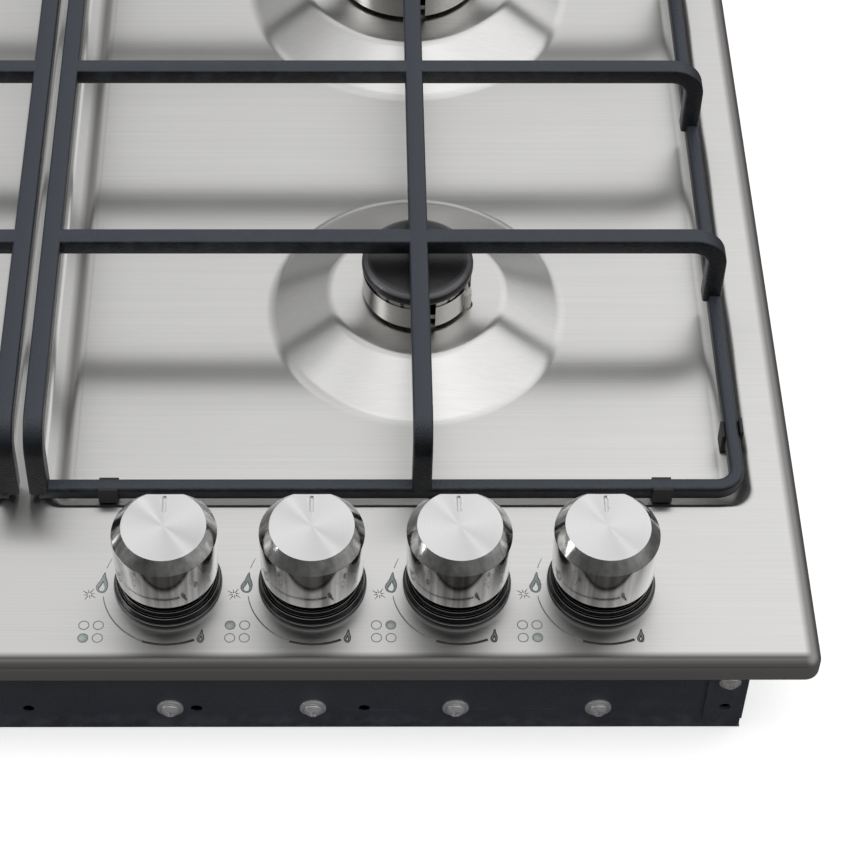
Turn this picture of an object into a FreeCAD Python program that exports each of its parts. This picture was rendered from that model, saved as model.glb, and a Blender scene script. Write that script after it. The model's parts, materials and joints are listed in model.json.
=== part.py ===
"""Built-in gas cooktop with four burners, front knobs and two lift-off pan supports.

Frame: +X to the right, +Y to the rear, +Z up, origin under the middle of the case floor.
All lengths are millimetres and all angles are degrees.
"""
import FreeCAD
import Part
import Sketcher
import math
import os
import re

doc = FreeCAD.newDocument("cooktop")
sheet = doc.addObject("Spreadsheet::Sheet", "Sizes")

SIZES = {
    # top plate
    "plate_width": 580, "plate_depth": 500, "plate_height": 53.5, "plate_corner": 6,
    "sheet": 0.9, "lip_drop": 9, "lip_round": 4,
    "well_inner": 6.2, "well_outer": "plate_width / 2 - 17.3",
    "well_front": "70.2 - plate_depth / 2", "well_rear": "plate_depth / 2 - 34.2",
    "well_slope": 9, "well_drop": 6, "well_corner": 7, "well_round": 2.5,
    "plateau_rise": 11.5, "plateau_round": 3,
    # case
    "case_half_width": "plate_width / 2 - 23.4", "case_half_depth": "plate_depth / 2 - 8",
    "case_sheet": 0.8, "case_side_gap": 0.4,
    "tab_width": 14.6, "tab_low": 7, "tab_high": "plate_height - 13.5",
    "corner_low": "tab_low + 7.8", "corner_high": "plate_height - 21.3",
    "notch_width": 60, "notch_depth": 52, "flange": 12, "gap": 0.3, "seat_gap": 0.02,
    # sealing strip and fixing clips
    "seal_width": 4.6, "seal_thick": 4.8, "clip_width": 20, "clip_height": 30, "clip_thick": 1,
    "clip_place": "case_half_depth - 112", "clip_reach": 9, "clip_low": 8,
    # knobs
    "knob_first": "case_half_width - 211.1", "knob_pitch": 52.5,
    "knob_front": "27.6 - case_half_depth",
    "knob_radius": 18.9, "knob_face_radius": 15.3, "knob_bevel": 4.5, "knob_tall": 24.5,
    "knob_lift": 11, "knob_wall": 2, "knob_flat": 13.7, "knob_travel": 4,
    "knob_web": "sqrt((knob_radius - 0.6)^2 - knob_flat^2)",
    "pointer_near": 6.3, "pointer_far": 12.6, "pointer_wide": 1, "pointer_deep": 0.8,
    "bezel_radius": 19.7, "bezel_tall": 6.3, "bezel_step": 1.4, "bezel_shoulder": 4.2,
    "bezel_hole": 4.5, "spindle_radius": 3,
    "running_gap": 0.1,
    # gas rail and taps
    "rail_height": 13.8, "rail_place": "12.5 - case_half_depth", "rail_radius": 7, "rail_wall": 1.5,
    "rail_start": "knob_first - 21.5", "rail_end": "case_half_width - 28.6", "boss_radius": 6,
    "tap_width": 24, "tap_low": 6.5, "tap_high": "plate_height - 15.5", "neck_radius": 7,
    "neck_high": "plate_height - 8", "chamber_radius": 5.6, "chamber_tall": 17, "collar_radius": 4.9,
    "collar_thick": 3, "push_radius": 2, "spring_wire": 0.8, "spring_turns": 5,
    "pipe_radius": 4, "pipe_height": 24.5, "stub_radius": 5.5, "stub_long": 18,
    # burners
    "burner_side": "plate_width / 4 + 3.5", "burner_front": "well_front + 102.3",
    "burner_rear": "well_rear - 102.3",
    "large_crown": 46, "large_plateau": 62, "large_foot": 84,
    "middle_crown": 32.5, "middle_plateau": 48, "middle_foot": 70,
    "small_crown": 21.6, "small_plateau": 35, "small_foot": 58.2,
    "crown_low": "plate_height + 7.2", "crown_high": "crown_low + 13.1", "crown_wall": 3.5,
    "port_band": 2, "port_inset": 1.2,
    "cap_thick": 4.6, "cap_overhang": 0.4, "cap_round": 2.2,
    "flame_slot": 1.6, "flame_slot_tall": 1.8, "gate_place": 4.5, "gate_wide": 2.3,
    "cup_low": "plate_height - 36.5", "probe_radius": 2.6, "probe_inset": 1.3,
    "probe_angle": -22, "sensor_angle": 82, "probe_foot": "plate_height - 11.5",
    "lead_level": 12, "lead_radius": 1, "wire_level": 6, "wire_radius": 1.3,
    "generator_x": -60, "generator_y": "burner_rear + 56.5", "generator_long": 62,
    "generator_deep": 40, "generator_tall": 26,
    # gas and mains connection, small fasteners
    "supply_place": "case_half_width - 26.6", "supply_radius": 5, "inlet_height": 30,
    "inlet_low": 2, "thread_long": 15, "thread_radius": 10.48,
    "gland_place": "case_half_depth - 16", "gland_radius": 5,
    "screw_radius": 2, "screw_flange": 4.7, "screw_dome": 3.6, "screw_tall": 2.6,
    "screw_long": 7, "washer": 1, "spare_pitch": 61.8, "spare_radius": 2.2, "corner_inset": 7,
    # pan supports
    "bar_width": 7.3, "bar_foot": 7.4, "bar_tall": 7.4, "bar_top": "plate_height + 37.9",
    "bar_bend": 14, "frame_width": 5.5, "frame_tall": 7.8, "frame_high": "plate_height + 7",
    "ridge_relief": 1.1, "ridge_reach": "well_inner + 4.3",
    "frame_outer": "well_outer - 2.7", "frame_front": "well_front + 3.2",
    "frame_rear": "well_rear - 3.2", "frame_corner": 11, "inner_bar": 5.6,
    "cross_pitch": "(burner_rear - burner_front) / 2",
    "foot_width": 7.4, "foot_wall": 1.2, "foot_grip": 0.05, "foot_lip": 2.5, "foot_rise": 0.45,
    "foot_near": 31.5, "foot_far": "frame_outer - 31.6",
    "foot_side": "(frame_rear - frame_front) / 2 - 29.6",
}


for row, (alias, worth) in enumerate(SIZES.items(), start=1):
    sheet.set("A%d" % row, alias)
    sheet.set("B%d" % row, "=" + worth if isinstance(worth, str) else "%g" % worth)
    sheet.setAlias("B%d" % row, alias)
doc.recompute()

ALIAS = re.compile(r"\b(" + "|".join(sorted(SIZES, key=len, reverse=True)) + r")\b")
subparts = []


def formula(text):
    """The text of a size with each named value tied to its cell."""
    return ALIAS.sub(r"Sizes.\1", str(text))


def size(text):
    """The present value of a size, in millimetres."""
    result = sheet.evalExpression(formula(text))
    return float(getattr(result, "Value", result))


def bind(thing, prop, text):
    thing.setExpression(prop, formula(text))


def keep(thing, label):
    """Mark an object as a sub-part, under the name of its file."""
    thing.Label = label
    subparts.append(thing)
    return thing


# ---------------------------------------------------------------- sketches and features

def new_body(name):
    return doc.addObject("PartDesign::Body", name)


def plane(body, role):
    return [f for f in body.Origin.OriginFeatures if f.Role == role][0]


def new_sketch(body, role, lift=None):
    sketch = body.newObject("Sketcher::SketchObject", body.Name + "_sketch")
    sketch.AttachmentSupport = [(plane(body, role), "")]
    sketch.MapMode = "FlatFace"
    if lift is not None:
        bind(sketch, "AttachmentOffset.Base.z", lift)
    return sketch


def place_point(sketch, index, end, where):
    """Hold one end of a line, or a centre, at a place given by two sizes."""
    for kind, text in zip(("DistanceX", "DistanceY"), where):
        number = sketch.addConstraint(Sketcher.Constraint(kind, -1, 1, index, end, size(text)))
        bind(sketch, "Constraints[%d]" % number, text)


def add_polygon(sketch, points):
    first = sketch.GeometryCount
    count = len(points)
    spots = [FreeCAD.Vector(size(x), size(y), 0) for x, y in points]
    for i in range(count):
        sketch.addGeometry(Part.LineSegment(spots[i], spots[(i + 1) % count]), False)
    for i in range(count):
        after = first + (i + 1) % count
        sketch.addConstraint(Sketcher.Constraint("Coincident", first + i, 2, after, 1))
        place_point(sketch, first + i, 1, points[i])


def add_rectangle(sketch, left, low, right, high):
    add_polygon(sketch, [(left, low), (right, low), (right, high), (left, high)])


def add_circle(sketch, x, y, radius):
    centre = FreeCAD.Vector(size(x), size(y), 0)
    index = sketch.addGeometry(Part.Circle(centre, FreeCAD.Vector(0, 0, 1), size(radius)), False)
    place_point(sketch, index, 3, (x, y))
    number = sketch.addConstraint(Sketcher.Constraint("Radius", index, size(radius)))
    bind(sketch, "Constraints[%d]" % number, radius)


def pad(body, sketch, length, both_ways=False):
    feature = body.newObject("PartDesign::Pad", body.Name + "_pad")
    feature.Profile = sketch
    bind(feature, "Length", length)
    if both_ways:
        feature.SideType = "Symmetric"
    return feature


def pocket(body, sketch, length, upwards=False):
    feature = body.newObject("PartDesign::Pocket", body.Name + "_pocket")
    feature.Profile = sketch
    bind(feature, "Length", length)
    feature.Reversed = upwards
    return feature


def revolve(body, sketch, kind="PartDesign::Revolution", axis="V_Axis"):
    feature = body.newObject(kind, body.Name + "_turn")
    feature.Profile = sketch
    feature.ReferenceAxis = (sketch, [axis])
    feature.Angle = 360
    return feature


def turned(name, points, x="0", y="0", z="0"):
    """A round piece: its half profile, radius then height, turned about the Z axis."""
    body = new_body(name)
    sketch = new_sketch(body, "XZ_Plane")
    add_polygon(sketch, points)
    revolve(body, sketch)
    move(body, x, y, z)
    return body


def move(thing, x, y, z="0"):
    for axis, text in zip("xyz", (x, y, z)):
        bind(thing, "Placement.Base." + axis, text)
    return thing


def edges_where(shape, test):
    """Names of the edges that a test picks by their middle and direction."""
    names = []
    for number, edge in enumerate(shape.Edges, start=1):
        first, last = edge.ParameterRange
        middle = edge.valueAt((first + last) / 2)
        if test(edge, middle):
            names.append("Edge%d" % number)
    return names


def fillet(body, test, radius, kind="PartDesign::Fillet"):
    """Round the picked edges of the body as built so far."""
    doc.recompute()
    base = body.Tip
    names = edges_where(base.Shape, test)
    feature = body.newObject(kind, body.Name + "_round")
    feature.Base = (base, names)
    bind(feature, "Radius" if kind.endswith("Fillet") else "Size", radius)
    return feature


def box(name, x, y, z, length, width, height):
    thing = doc.addObject("Part::Box", name)
    for prop, text in zip(("Length", "Width", "Height"), (length, width, height)):
        bind(thing, prop, text)
    return move(thing, x, y, z)


def rod(name, x, y, z, radius, height, direction="Z"):
    """A straight round bar that starts at a place and runs along an axis."""
    thing = doc.addObject("Part::Cylinder", name)
    bind(thing, "Radius", radius)
    bind(thing, "Height", height)
    turn = {"Z": (0, 0, 1, 0), "X": (0, 1, 0, 90), "Y": (1, 0, 0, -90)}[direction]
    thing.Placement.Rotation = FreeCAD.Rotation(FreeCAD.Vector(*turn[:3]), turn[3])
    return move(thing, x, y, z)


def fuse(name, pieces):
    thing = doc.addObject("Part::MultiFuse", name)
    thing.Shapes = pieces
    thing.Refine = True
    return thing


def cut(name, base, tools):
    thing = doc.addObject("Part::Cut", name)
    thing.Base = base
    thing.Tool = tools[0] if len(tools) == 1 else fuse(name + "_tools", tools)
    return thing


def group(name, pieces):
    """Several like pieces that share one node, each still a solid of its own."""
    thing = doc.addObject("Part::Compound", name)
    thing.Links = pieces
    return thing


def bent_path(points, bend):
    """Straight runs between points, joined by tangent arcs of one bend radius."""
    spots = [FreeCAD.Vector(*p) for p in points]
    edges = []
    start = spots[0]
    for i in range(1, len(spots) - 1):
        before = (spots[i - 1] - spots[i]).normalize()
        after = (spots[i + 1] - spots[i]).normalize()
        half = before.getAngle(after) / 2
        back = bend / math.tan(half)
        middle = (before + after).normalize()
        centre = spots[i] + middle * (bend / math.sin(half))
        enter = spots[i] + before * back
        leave = spots[i] + after * back
        edges.append(Part.LineSegment(start, enter).toShape())
        edges.append(Part.Arc(enter, centre - middle * bend, leave).toShape())
        start = leave
    edges.append(Part.LineSegment(start, spots[-1]).toShape())
    return Part.Wire(edges)


def tube(points, bend, radius):
    """A round tube or lead along straight runs and arcs."""
    path = bent_path(points, bend)
    along = FreeCAD.Vector(*points[1]) - FreeCAD.Vector(*points[0])
    ring = Part.Circle(FreeCAD.Vector(*points[0]), along, radius).toShape()
    solid = path.makePipeShell([Part.Wire([ring])], True, False)
    return solid


def made(name, solids):
    """A piece whose form is a run of tubes or a coil."""
    thing = doc.addObject("Part::Feature", name)
    thing.Shape = solids[0] if len(solids) == 1 else Part.makeCompound(solids)
    return thing


# ---------------------------------------------------------------- burners: where and how big

KNOBS = ["knob_first + %d * knob_pitch" % i for i in range(4)]
# name, place across, place along, crown radius, inner and outer radius of the raised plateau,
# number of flame slots, direction of the gas pipe
BURNERS = [
    ("front_left", "-burner_side", "burner_front", "large_crown", "large_plateau", "large_foot", 40, 270),
    ("rear_left", "-burner_side", "burner_rear", "middle_crown", "middle_plateau", "middle_foot", 30, 270),
    ("rear_right", "burner_side", "burner_rear", "middle_crown", "middle_plateau", "middle_foot", 30, 270),
    ("front_right", "burner_side", "burner_front", "small_crown", "small_plateau", "small_foot", 20, 0),
]
FLOOR_HEIGHT = "plate_height - well_drop"
PLATEAU_HEIGHT = "plate_height - well_drop + plateau_rise"


def polar(x, y, radius, angle):
    """A place at a distance and direction from another one."""
    return ("%s + (%s) * cos(%s * 1deg)" % (x, radius, angle),
            "%s + (%s) * sin(%s * 1deg)" % (y, radius, angle))


def probe_places(burner):
    """Where the electrode and the thermocouple of a burner stand."""
    name, x, y, crown = burner[:4]
    reach = crown + " - probe_inset"
    return [polar(x, y, reach, angle) for angle in ("probe_angle", "sensor_angle")]


# ---------------------------------------------------------------- top plate

def press_wells(body, depth):
    """Two wells with sloping walls, pressed below the flat surface."""
    for side in (-1, 1):
        near, far = ("well_inner", "well_outer")
        if side < 0:
            near, far = ("-well_outer", "-well_inner")
        rim = new_sketch(body, "XY_Plane", "plate_height - %s" % depth)
        add_rectangle(rim, near + " + " + depth, "well_front + " + depth,
                      far + " - " + depth, "well_rear - " + depth)
        floor = new_sketch(body, "XY_Plane", FLOOR_HEIGHT + " - " + depth)
        grow = "well_slope + %s" % depth
        add_rectangle(floor, "%s + %s" % (near, grow), "well_front + " + grow,
                      "%s - (%s)" % (far, grow), "well_rear - (%s)" % grow)
        well = body.newObject("PartDesign::SubtractiveLoft", body.Name + "_well")
        well.Profile = rim
        well.Sections = [floor]
        well.Ruled = True


def plate_form(name, depth):
    """The pressed form, either its show side or, one sheet deeper, its back."""
    body = new_body(name)
    low = "plate_height - lip_drop"
    if depth != "0":
        low = "plate_height - lip_drop - 1"
    outline = new_sketch(body, "XY_Plane", low)
    add_rectangle(outline, "-plate_width / 2 + " + depth, "-plate_depth / 2 + " + depth,
                  "plate_width / 2 - " + depth, "plate_depth / 2 - " + depth)
    pad(body, outline, "plate_height - %s - (%s)" % (depth, low))
    top = size("plate_height - " + depth)

    def upright(edge, middle):
        return abs(edge.tangentAt(edge.FirstParameter).z) > 0.9
    fillet(body, upright, "plate_corner - " + depth)

    def rim(edge, middle):
        return abs(middle.z - top) < 0.01
    fillet(body, rim, "lip_round - " + depth)
    press_wells(body, depth)
    floor = size(FLOOR_HEIGHT + " - " + depth)

    def slope_corner(edge, middle):
        drop = abs(edge.tangentAt(edge.FirstParameter).z)
        return floor + 0.1 < middle.z < top - 0.1 and 0.3 < drop < 0.95
    fillet(body, slope_corner, "well_corner")

    def well_brim(edge, middle):
        inside = abs(middle.x) < size("well_outer") + 1 and middle.y > size("well_front") - 1
        return inside and middle.y < size("well_rear") + 1 and abs(middle.z - top) < 0.01
    fillet(body, well_brim, "well_round")

    def well_foot(edge, middle):
        return abs(middle.z - floor) < 0.01
    fillet(body, well_foot, "well_round")
    for burner in BURNERS:
        x, y, crown, inner, outer = burner[1:6]
        sketch = new_sketch(body, "XZ_Plane", "-(%s)" % y)
        add_polygon(sketch, [
            (x, FLOOR_HEIGHT + " - 1 - " + depth),
            ("%s + %s - %s" % (x, outer, depth), FLOOR_HEIGHT + " - 1 - " + depth),
            ("%s + %s - %s" % (x, outer, depth), FLOOR_HEIGHT + " - " + depth),
            ("%s + %s - %s" % (x, inner, depth), PLATEAU_HEIGHT + " - " + depth),
            (x, PLATEAU_HEIGHT + " - " + depth)])
        turn = body.newObject("PartDesign::Revolution", body.Name + "_plateau")
        turn.Profile = sketch
        line = sketch.addGeometry(Part.LineSegment(
            FreeCAD.Vector(size(x), 0, 0), FreeCAD.Vector(size(x), 10, 0)), True)
        place_point(sketch, line, 1, (x, "0"))
        place_point(sketch, line, 2, (x, "10"))
        turn.ReferenceAxis = (sketch, ["Axis0"])
        turn.Angle = 360
    peak = size(PLATEAU_HEIGHT + " - " + depth)

    def plateau_ring(edge, middle):
        round_edge = isinstance(edge.Curve, Part.Circle)
        at_foot = abs(middle.z - floor) < 0.01 and edge.Curve.Radius > 30 if round_edge else False
        return round_edge and (abs(middle.z - peak) < 0.01 or at_foot)
    fillet(body, plateau_ring, "plateau_round")
    return body


def build_top_plate():
    show = plate_form("plate_show_side", "0")
    back = plate_form("plate_back_side", "sheet")
    holes = []
    through = "plateau_rise + 20"
    for burner in BURNERS:
        name, x, y, crown = burner[:4]
        holes.append(rod("cup_hole_" + name, x, y, "plate_height - 12", crown + " - 6.5", through))
        for number, (px, py) in enumerate(probe_places(burner)):
            holes.append(rod("probe_hole_%s_%d" % (name, number), px, py, "plate_height - 12",
                             "probe_radius + 0.7", through))
    for number, x in enumerate(KNOBS):
        holes.append(rod("knob_hole_%d" % number, x, "knob_front", "plate_height - 12",
                         "neck_radius + 1", through))
    keep(cut("pressed_plate", show, [back] + holes), "top_plate")


# ---------------------------------------------------------------- case

WALL_TOP = "plate_height - sheet - gap"
SIDE_TOP = "plate_height - well_drop - sheet - case_side_gap"


def build_case():
    body = new_body("case_tray")
    outline = new_sketch(body, "XY_Plane")
    notch_x = "case_half_width - notch_width"
    notch_y = "case_half_depth - notch_depth"

    def plan(t):
        return [("-case_half_width + " + t, "-case_half_depth + " + t),
                ("case_half_width - " + t, "-case_half_depth + " + t),
                ("case_half_width - " + t, "%s - %s" % (notch_y, t)),
                ("%s - %s" % (notch_x, t), "%s - %s" % (notch_y, t)),
                ("%s - %s" % (notch_x, t), "case_half_depth - " + t),
                ("-case_half_width + " + t, "case_half_depth - " + t)]
    add_polygon(outline, plan("0"))
    pad(body, outline, SIDE_TOP)
    hollow = new_sketch(body, "XY_Plane", "case_sheet")
    add_polygon(hollow, plan("case_sheet"))
    pocket(body, hollow, "plate_height", upwards=True)
    front = new_sketch(body, "XY_Plane", "case_sheet")
    add_rectangle(front, "-case_half_width - 1", "-case_half_depth - 1",
                  "case_half_width + 1", "-case_half_depth + case_sheet + gap")
    pocket(body, front, "plate_height", upwards=True)
    pieces = [body]
    rear = "case_half_depth - case_sheet"
    wide = "2 * case_half_width - notch_width"
    pieces.append(box("rear_wall_rise", "-case_half_width", rear, SIDE_TOP, wide, "case_sheet",
                      "%s - (%s)" % (WALL_TOP, SIDE_TOP)))
    pieces.append(box("rear_flange", "-case_half_width", "case_half_depth - flange",
                      WALL_TOP + " - case_sheet", wide, "flange", "case_sheet"))
    holes = []
    for side in (-1, 1):
        tab_x = "case_half_width - tab_width" if side > 0 else "-case_half_width"
        pieces.append(box("corner_tab_%d" % (side + 1), tab_x, "-case_half_depth - case_sheet",
                          "tab_low", "tab_width", "case_sheet", "tab_high - tab_low"))
        wall_x = "case_half_width - case_sheet" if side > 0 else "-case_half_width"
        pieces.append(box("tab_bend_%d" % (side + 1), wall_x, "-case_half_depth - case_sheet",
                          "tab_low", "case_sheet", "2 * case_sheet + gap + 1", "tab_high - tab_low"))
        holes.append(rod("tab_hole_%d" % (side + 1), "%d * (case_half_width - corner_inset)" % side,
                         "-case_half_depth - 2", "corner_low", "spare_radius", "2", "Y"))
        holes.append(rod("tab_screw_hole_%d" % (side + 1), "%d * (case_half_width - corner_inset)" % side,
                         "-case_half_depth - 2", "corner_high", "1.8", "2", "Y"))
    holes.append(rod("supply_hole", "supply_place", notch_y + " - 3", "inlet_height",
                     "supply_radius + 0.4", "6", "Y"))
    holes.append(rod("gland_hole", notch_x + " - 3", "gland_place", "inlet_height",
                     "gland_radius + 0.3", "6", "X"))
    for side in (-1, 1):
        for place in (-1, 1):
            holes.append(rod("clip_hole_%d_%d" % (side + 1, place + 1), "%d * case_half_width - 2" % side,
                             "%d * clip_place" % place, "clip_low + 8", "1.6", "4", "X"))
    keep(cut("case_shell", fuse("case_folded", pieces), holes), "lower_case")


def build_front_wall():
    inner = "-case_half_depth"
    high = "%s - case_sheet - gap" % WALL_TOP
    sheet_wall = box("front_sheet", "-case_half_width + case_sheet + gap", inner, "case_sheet + gap",
                     "2 * (case_half_width - case_sheet - gap)", "case_sheet", high)
    top = box("front_flange", "-case_half_width + case_sheet + gap", inner, WALL_TOP + " - case_sheet",
              "2 * (case_half_width - case_sheet - gap)", "flange", "case_sheet")
    holes = []
    for number, x in enumerate(KNOBS):
        holes.append(rod("rail_screw_hole_%d" % number, x, inner + " - 1", "rail_height",
                         "screw_radius + 0.4", "3", "Y"))
    farthest = int(size("(case_half_width + knob_first + 9.6) / spare_pitch"))
    for number in range(-farthest, 2):
        x = "knob_first + 9.6 + %d * spare_pitch" % number
        holes.append(rod("spare_hole_%d" % (number + farthest), x, inner + " - 1", "rail_height - 1",
                         "spare_radius", "3", "Y"))
    for side in (-1, 1):
        x = "%d * (case_half_width - corner_inset)" % side
        holes.append(rod("corner_hole_%d" % (side + 1), x, inner + " - 1", "corner_high", "1.8", "3", "Y"))
        holes.append(rod("thread_hole_%d" % (side + 1), x, inner + " - 1", "corner_low",
                         "spare_radius", "3", "Y"))
    keep(cut("front_panel", fuse("front_folded", [sheet_wall, top]), holes), "front_wall")


def build_seal():
    low = "plate_height - lip_drop - gap"
    out_x, out_y = "plate_width / 2 - sheet - gap", "plate_depth / 2 - sheet - gap"
    body = new_body("seal_strip")
    outline = new_sketch(body, "XY_Plane", low)
    add_rectangle(outline, "-(%s)" % out_x, "-(%s)" % out_y, out_x, out_y)
    add_rectangle(outline, "-(%s - seal_width)" % out_x, "-(%s - seal_width)" % out_y,
                  out_x + " - seal_width", out_y + " - seal_width")
    pad(body, outline, "seal_thick")
    def outer_corner(edge, middle):
        return abs(edge.tangentAt(edge.FirstParameter).z) > 0.9 and abs(middle.x) > size(out_x) - 1
    fillet(body, outer_corner, "plate_corner - sheet - gap")
    keep(body, "worktop_seal")


def screw(name, head_radius, head_tall, flange_radius, flange_tall, shank_radius, shank_long):
    """A screw with its head up, seated on the flange's lower face."""
    return turned(name, [("0", "-" + shank_long), (shank_radius, "-" + shank_long), (shank_radius, "0"),
                         (flange_radius, "0"), (flange_radius, flange_tall), (head_radius, flange_tall),
                         (head_radius, "%s + %s" % (flange_tall, head_tall)),
                         ("0", "%s + %s" % (flange_tall, head_tall))])


def face_front(thing):
    thing.Placement.Rotation = FreeCAD.Rotation(FreeCAD.Vector(1, 0, 0), 90)
    return thing


def build_screws():
    rail = []
    for number, x in enumerate(KNOBS):
        one = screw("rail_screw_%d" % number, "screw_dome", "screw_tall", "screw_flange", "washer",
                    "screw_radius", "screw_long")
        rail.append(face_front(move(one, x, "-case_half_depth - seat_gap", "rail_height")))
    keep(group("rail_screw_set", rail), "rail_screws")
    corner = []
    for side in (-1, 1):
        one = screw("corner_screw_%d" % (side + 1), "3", "1.6", "4", "washer", "1.5", "6")
        place = "-case_half_depth - case_sheet - seat_gap"
        across = "%d * (case_half_width - corner_inset)" % side
        corner.append(face_front(move(one, across, place, "corner_high")))
    keep(group("corner_screw_set", corner), "corner_screws")
    clips, bolts = [], []
    for side in (-1, 1):
        for along in (-1, 1):
            tag = "%d_%d" % (side + 1, along + 1)
            body = new_body("clip_" + tag)
            sketch = new_sketch(body, "XZ_Plane")
            add_polygon(sketch, [("0", "clip_low"), ("clip_thick", "clip_low"),
                                 ("clip_thick", "clip_low + clip_height - 5"),
                                 ("clip_reach", "clip_low + clip_height - 14"),
                                 ("clip_reach + 0.8", "clip_low + clip_height - 13.2"),
                                 ("clip_thick", "clip_low + clip_height"), ("0", "clip_low + clip_height")])
            pad(body, sketch, "clip_width", both_ways=True)
            hole = new_sketch(body, "YZ_Plane", "-1")
            add_circle(hole, "0", "clip_low + 8", "1.7")
            pocket(body, hole, "4", upwards=True)
            turn = 0 if side > 0 else 180
            body.Placement.Rotation = FreeCAD.Rotation(FreeCAD.Vector(0, 0, 1), turn)
            clips.append(move(body, "%d * (case_half_width + seat_gap)" % side, "%d * clip_place" % along))
            bolt = screw("clip_bolt_" + tag, "2", "0.6", "2.8", "1.4", "1.45", "5")
            bolt.Placement.Rotation = FreeCAD.Rotation(FreeCAD.Vector(0, 1, 0), 90 * side)
            bolts.append(move(bolt, "%d * (case_half_width + clip_thick + 0.04)" % side,
                              "%d * clip_place" % along, "clip_low + 8"))
    keep(group("clip_set", clips), "fixing_clips")
    keep(group("clip_bolt_set", bolts), "clip_screws")


# ---------------------------------------------------------------- knobs and taps

def build_knob(number, x):
    top = "knob_lift + knob_tall"
    bore = "spindle_radius + 0.05"
    boss = "spindle_radius + 2.5"
    body = turned("knob_body_%d" % number, [
        ("knob_radius - 0.4", "knob_lift"), ("knob_radius", top + " - knob_bevel"),
        ("knob_face_radius", top), ("0", top), ("0", top + " - 4"), (bore, top + " - 4"),
        (bore, "knob_lift + 1"), (boss, "knob_lift + 1"), (boss, top + " - knob_bevel - knob_wall"),
        ("knob_radius - knob_wall - 0.5", top + " - knob_bevel - knob_wall"),
        ("knob_radius - knob_wall - 0.9", "knob_lift")], x, "knob_front", "plate_height")
    facet = new_sketch(body, "XY_Plane")
    add_rectangle(facet, "-knob_radius", "knob_flat", "knob_radius", "knob_radius + 1")
    pocket(body, facet, "knob_lift + knob_tall + 1", upwards=True)
    web = new_sketch(body, "XY_Plane", "knob_lift")
    add_rectangle(web, "-knob_web", "knob_flat - knob_wall", "knob_web", "knob_flat")
    pad(body, web, "knob_tall - knob_bevel")
    pointer = new_sketch(body, "XY_Plane", top)
    add_rectangle(pointer, "-pointer_wide / 2", "pointer_near", "pointer_wide / 2", "pointer_far")
    pocket(body, pointer, "pointer_deep")
    keep(body, "knob_%d" % (number + 1))
    spindle = turned("spindle_body_%d" % number, [
        ("0", "tap_high - 4.5"), ("spindle_radius", "tap_high - 4.5"),
        ("spindle_radius", "plate_height + %s - 4.3" % top), ("0", "plate_height + %s - 4.3" % top)],
        x, "knob_front")
    keep(spindle, "spindle_%d" % (number + 1))


def build_bezel(number, x):
    """A three-stepped ring round the spindle, under the knob."""
    shoulder, collar, inside = "bezel_radius - 0.7", "bezel_radius - 2.1", "bezel_radius - 3.6"
    return turned("bezel_body_%d" % number, [
        ("bezel_hole", "0"), ("bezel_radius", "0"), ("bezel_radius", "bezel_step"),
        (shoulder, "bezel_step"), (shoulder, "bezel_shoulder"), (collar, "bezel_shoulder"),
        (collar, "bezel_tall"), (inside, "bezel_tall"), (inside, "bezel_step"),
        ("bezel_hole", "bezel_step")], x, "knob_front", "plate_height + seat_gap")


def coil(radius, wire, low, high, turns):
    """A helical spring between two heights, one unbroken round wire."""
    pitch = (high - low - 2 * wire) / turns
    path = Part.makeHelix(pitch, pitch * turns, radius)
    path.translate(FreeCAD.Vector(0, 0, low + wire))
    start = path.Vertexes[0].Point
    along = FreeCAD.Vector(0, 2 * math.pi * radius, pitch)
    ring = Part.Wire([Part.Circle(start, along, wire).toShape()])
    return Part.Wire(path.Edges).makePipeShell([ring], True, True)


TAP_FRONT = "rail_place + rail_radius + gap"
TAP_REAR = "%s + 2 * (knob_front - (%s)) + 3" % (TAP_FRONT, TAP_FRONT)


def build_tap(number, x):
    y, front = "knob_front", TAP_FRONT
    block = box("tap_block_%d" % number, x + " - tap_width / 2", front, "tap_low", "tap_width",
                "2 * (knob_front - (%s))" % front + " + 4", "tap_high - tap_low")
    neck = rod("tap_neck_%d" % number, x, y, "tap_high - 1", "neck_radius", "neck_high - tap_high + 1")
    rear = TAP_REAR
    outlet = rod("tap_outlet_%d" % number, x, rear, "pipe_height", "stub_radius", "8", "Y")
    magnet = rod("tap_magnet_%d" % number, x, rear, "tap_low + 5.5", "stub_radius - 0.5", "12", "Y")
    chamber_low = "tap_high - 3 - chamber_tall"
    bores = [
        rod("tap_bore_%d" % number, x, y, "tap_high - 4", "spindle_radius + running_gap", "20"),
        rod("tap_chamber_%d" % number, x, y, chamber_low, "chamber_radius", "chamber_tall"),
        rod("tap_pin_bore_%d" % number, x, y, "tap_low + 1.5", "push_radius + 0.3", "20"),
    ]
    tap = cut("tap_cut_%d" % number, fuse("tap_solid_%d" % number, [block, neck, outlet, magnet]), bores)
    keep(tap, "tap_%d" % (number + 1))
    collar = "tap_high - 4.5 - gap"
    pin = turned("pin_body_%d" % number, [
        ("0", "tap_low + 3.5 + knob_travel"), ("push_radius", "tap_low + 3.5 + knob_travel"),
        ("push_radius", collar + " - collar_thick"), ("collar_radius", collar + " - collar_thick"),
        ("collar_radius", collar), ("0", collar)], x, y)
    keep(pin, "push_pin_%d" % (number + 1))
    wire = size("spring_wire") / 2
    wound = coil(size("(push_radius + collar_radius) / 2 + 0.6"), wire, size(chamber_low + " + seat_gap"),
                 size(collar + " - collar_thick - seat_gap"), size("spring_turns"))
    spring = move(made("spring_body_%d" % number, [wound]), x, y)
    keep(spring, "tap_spring_%d" % (number + 1))


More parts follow.
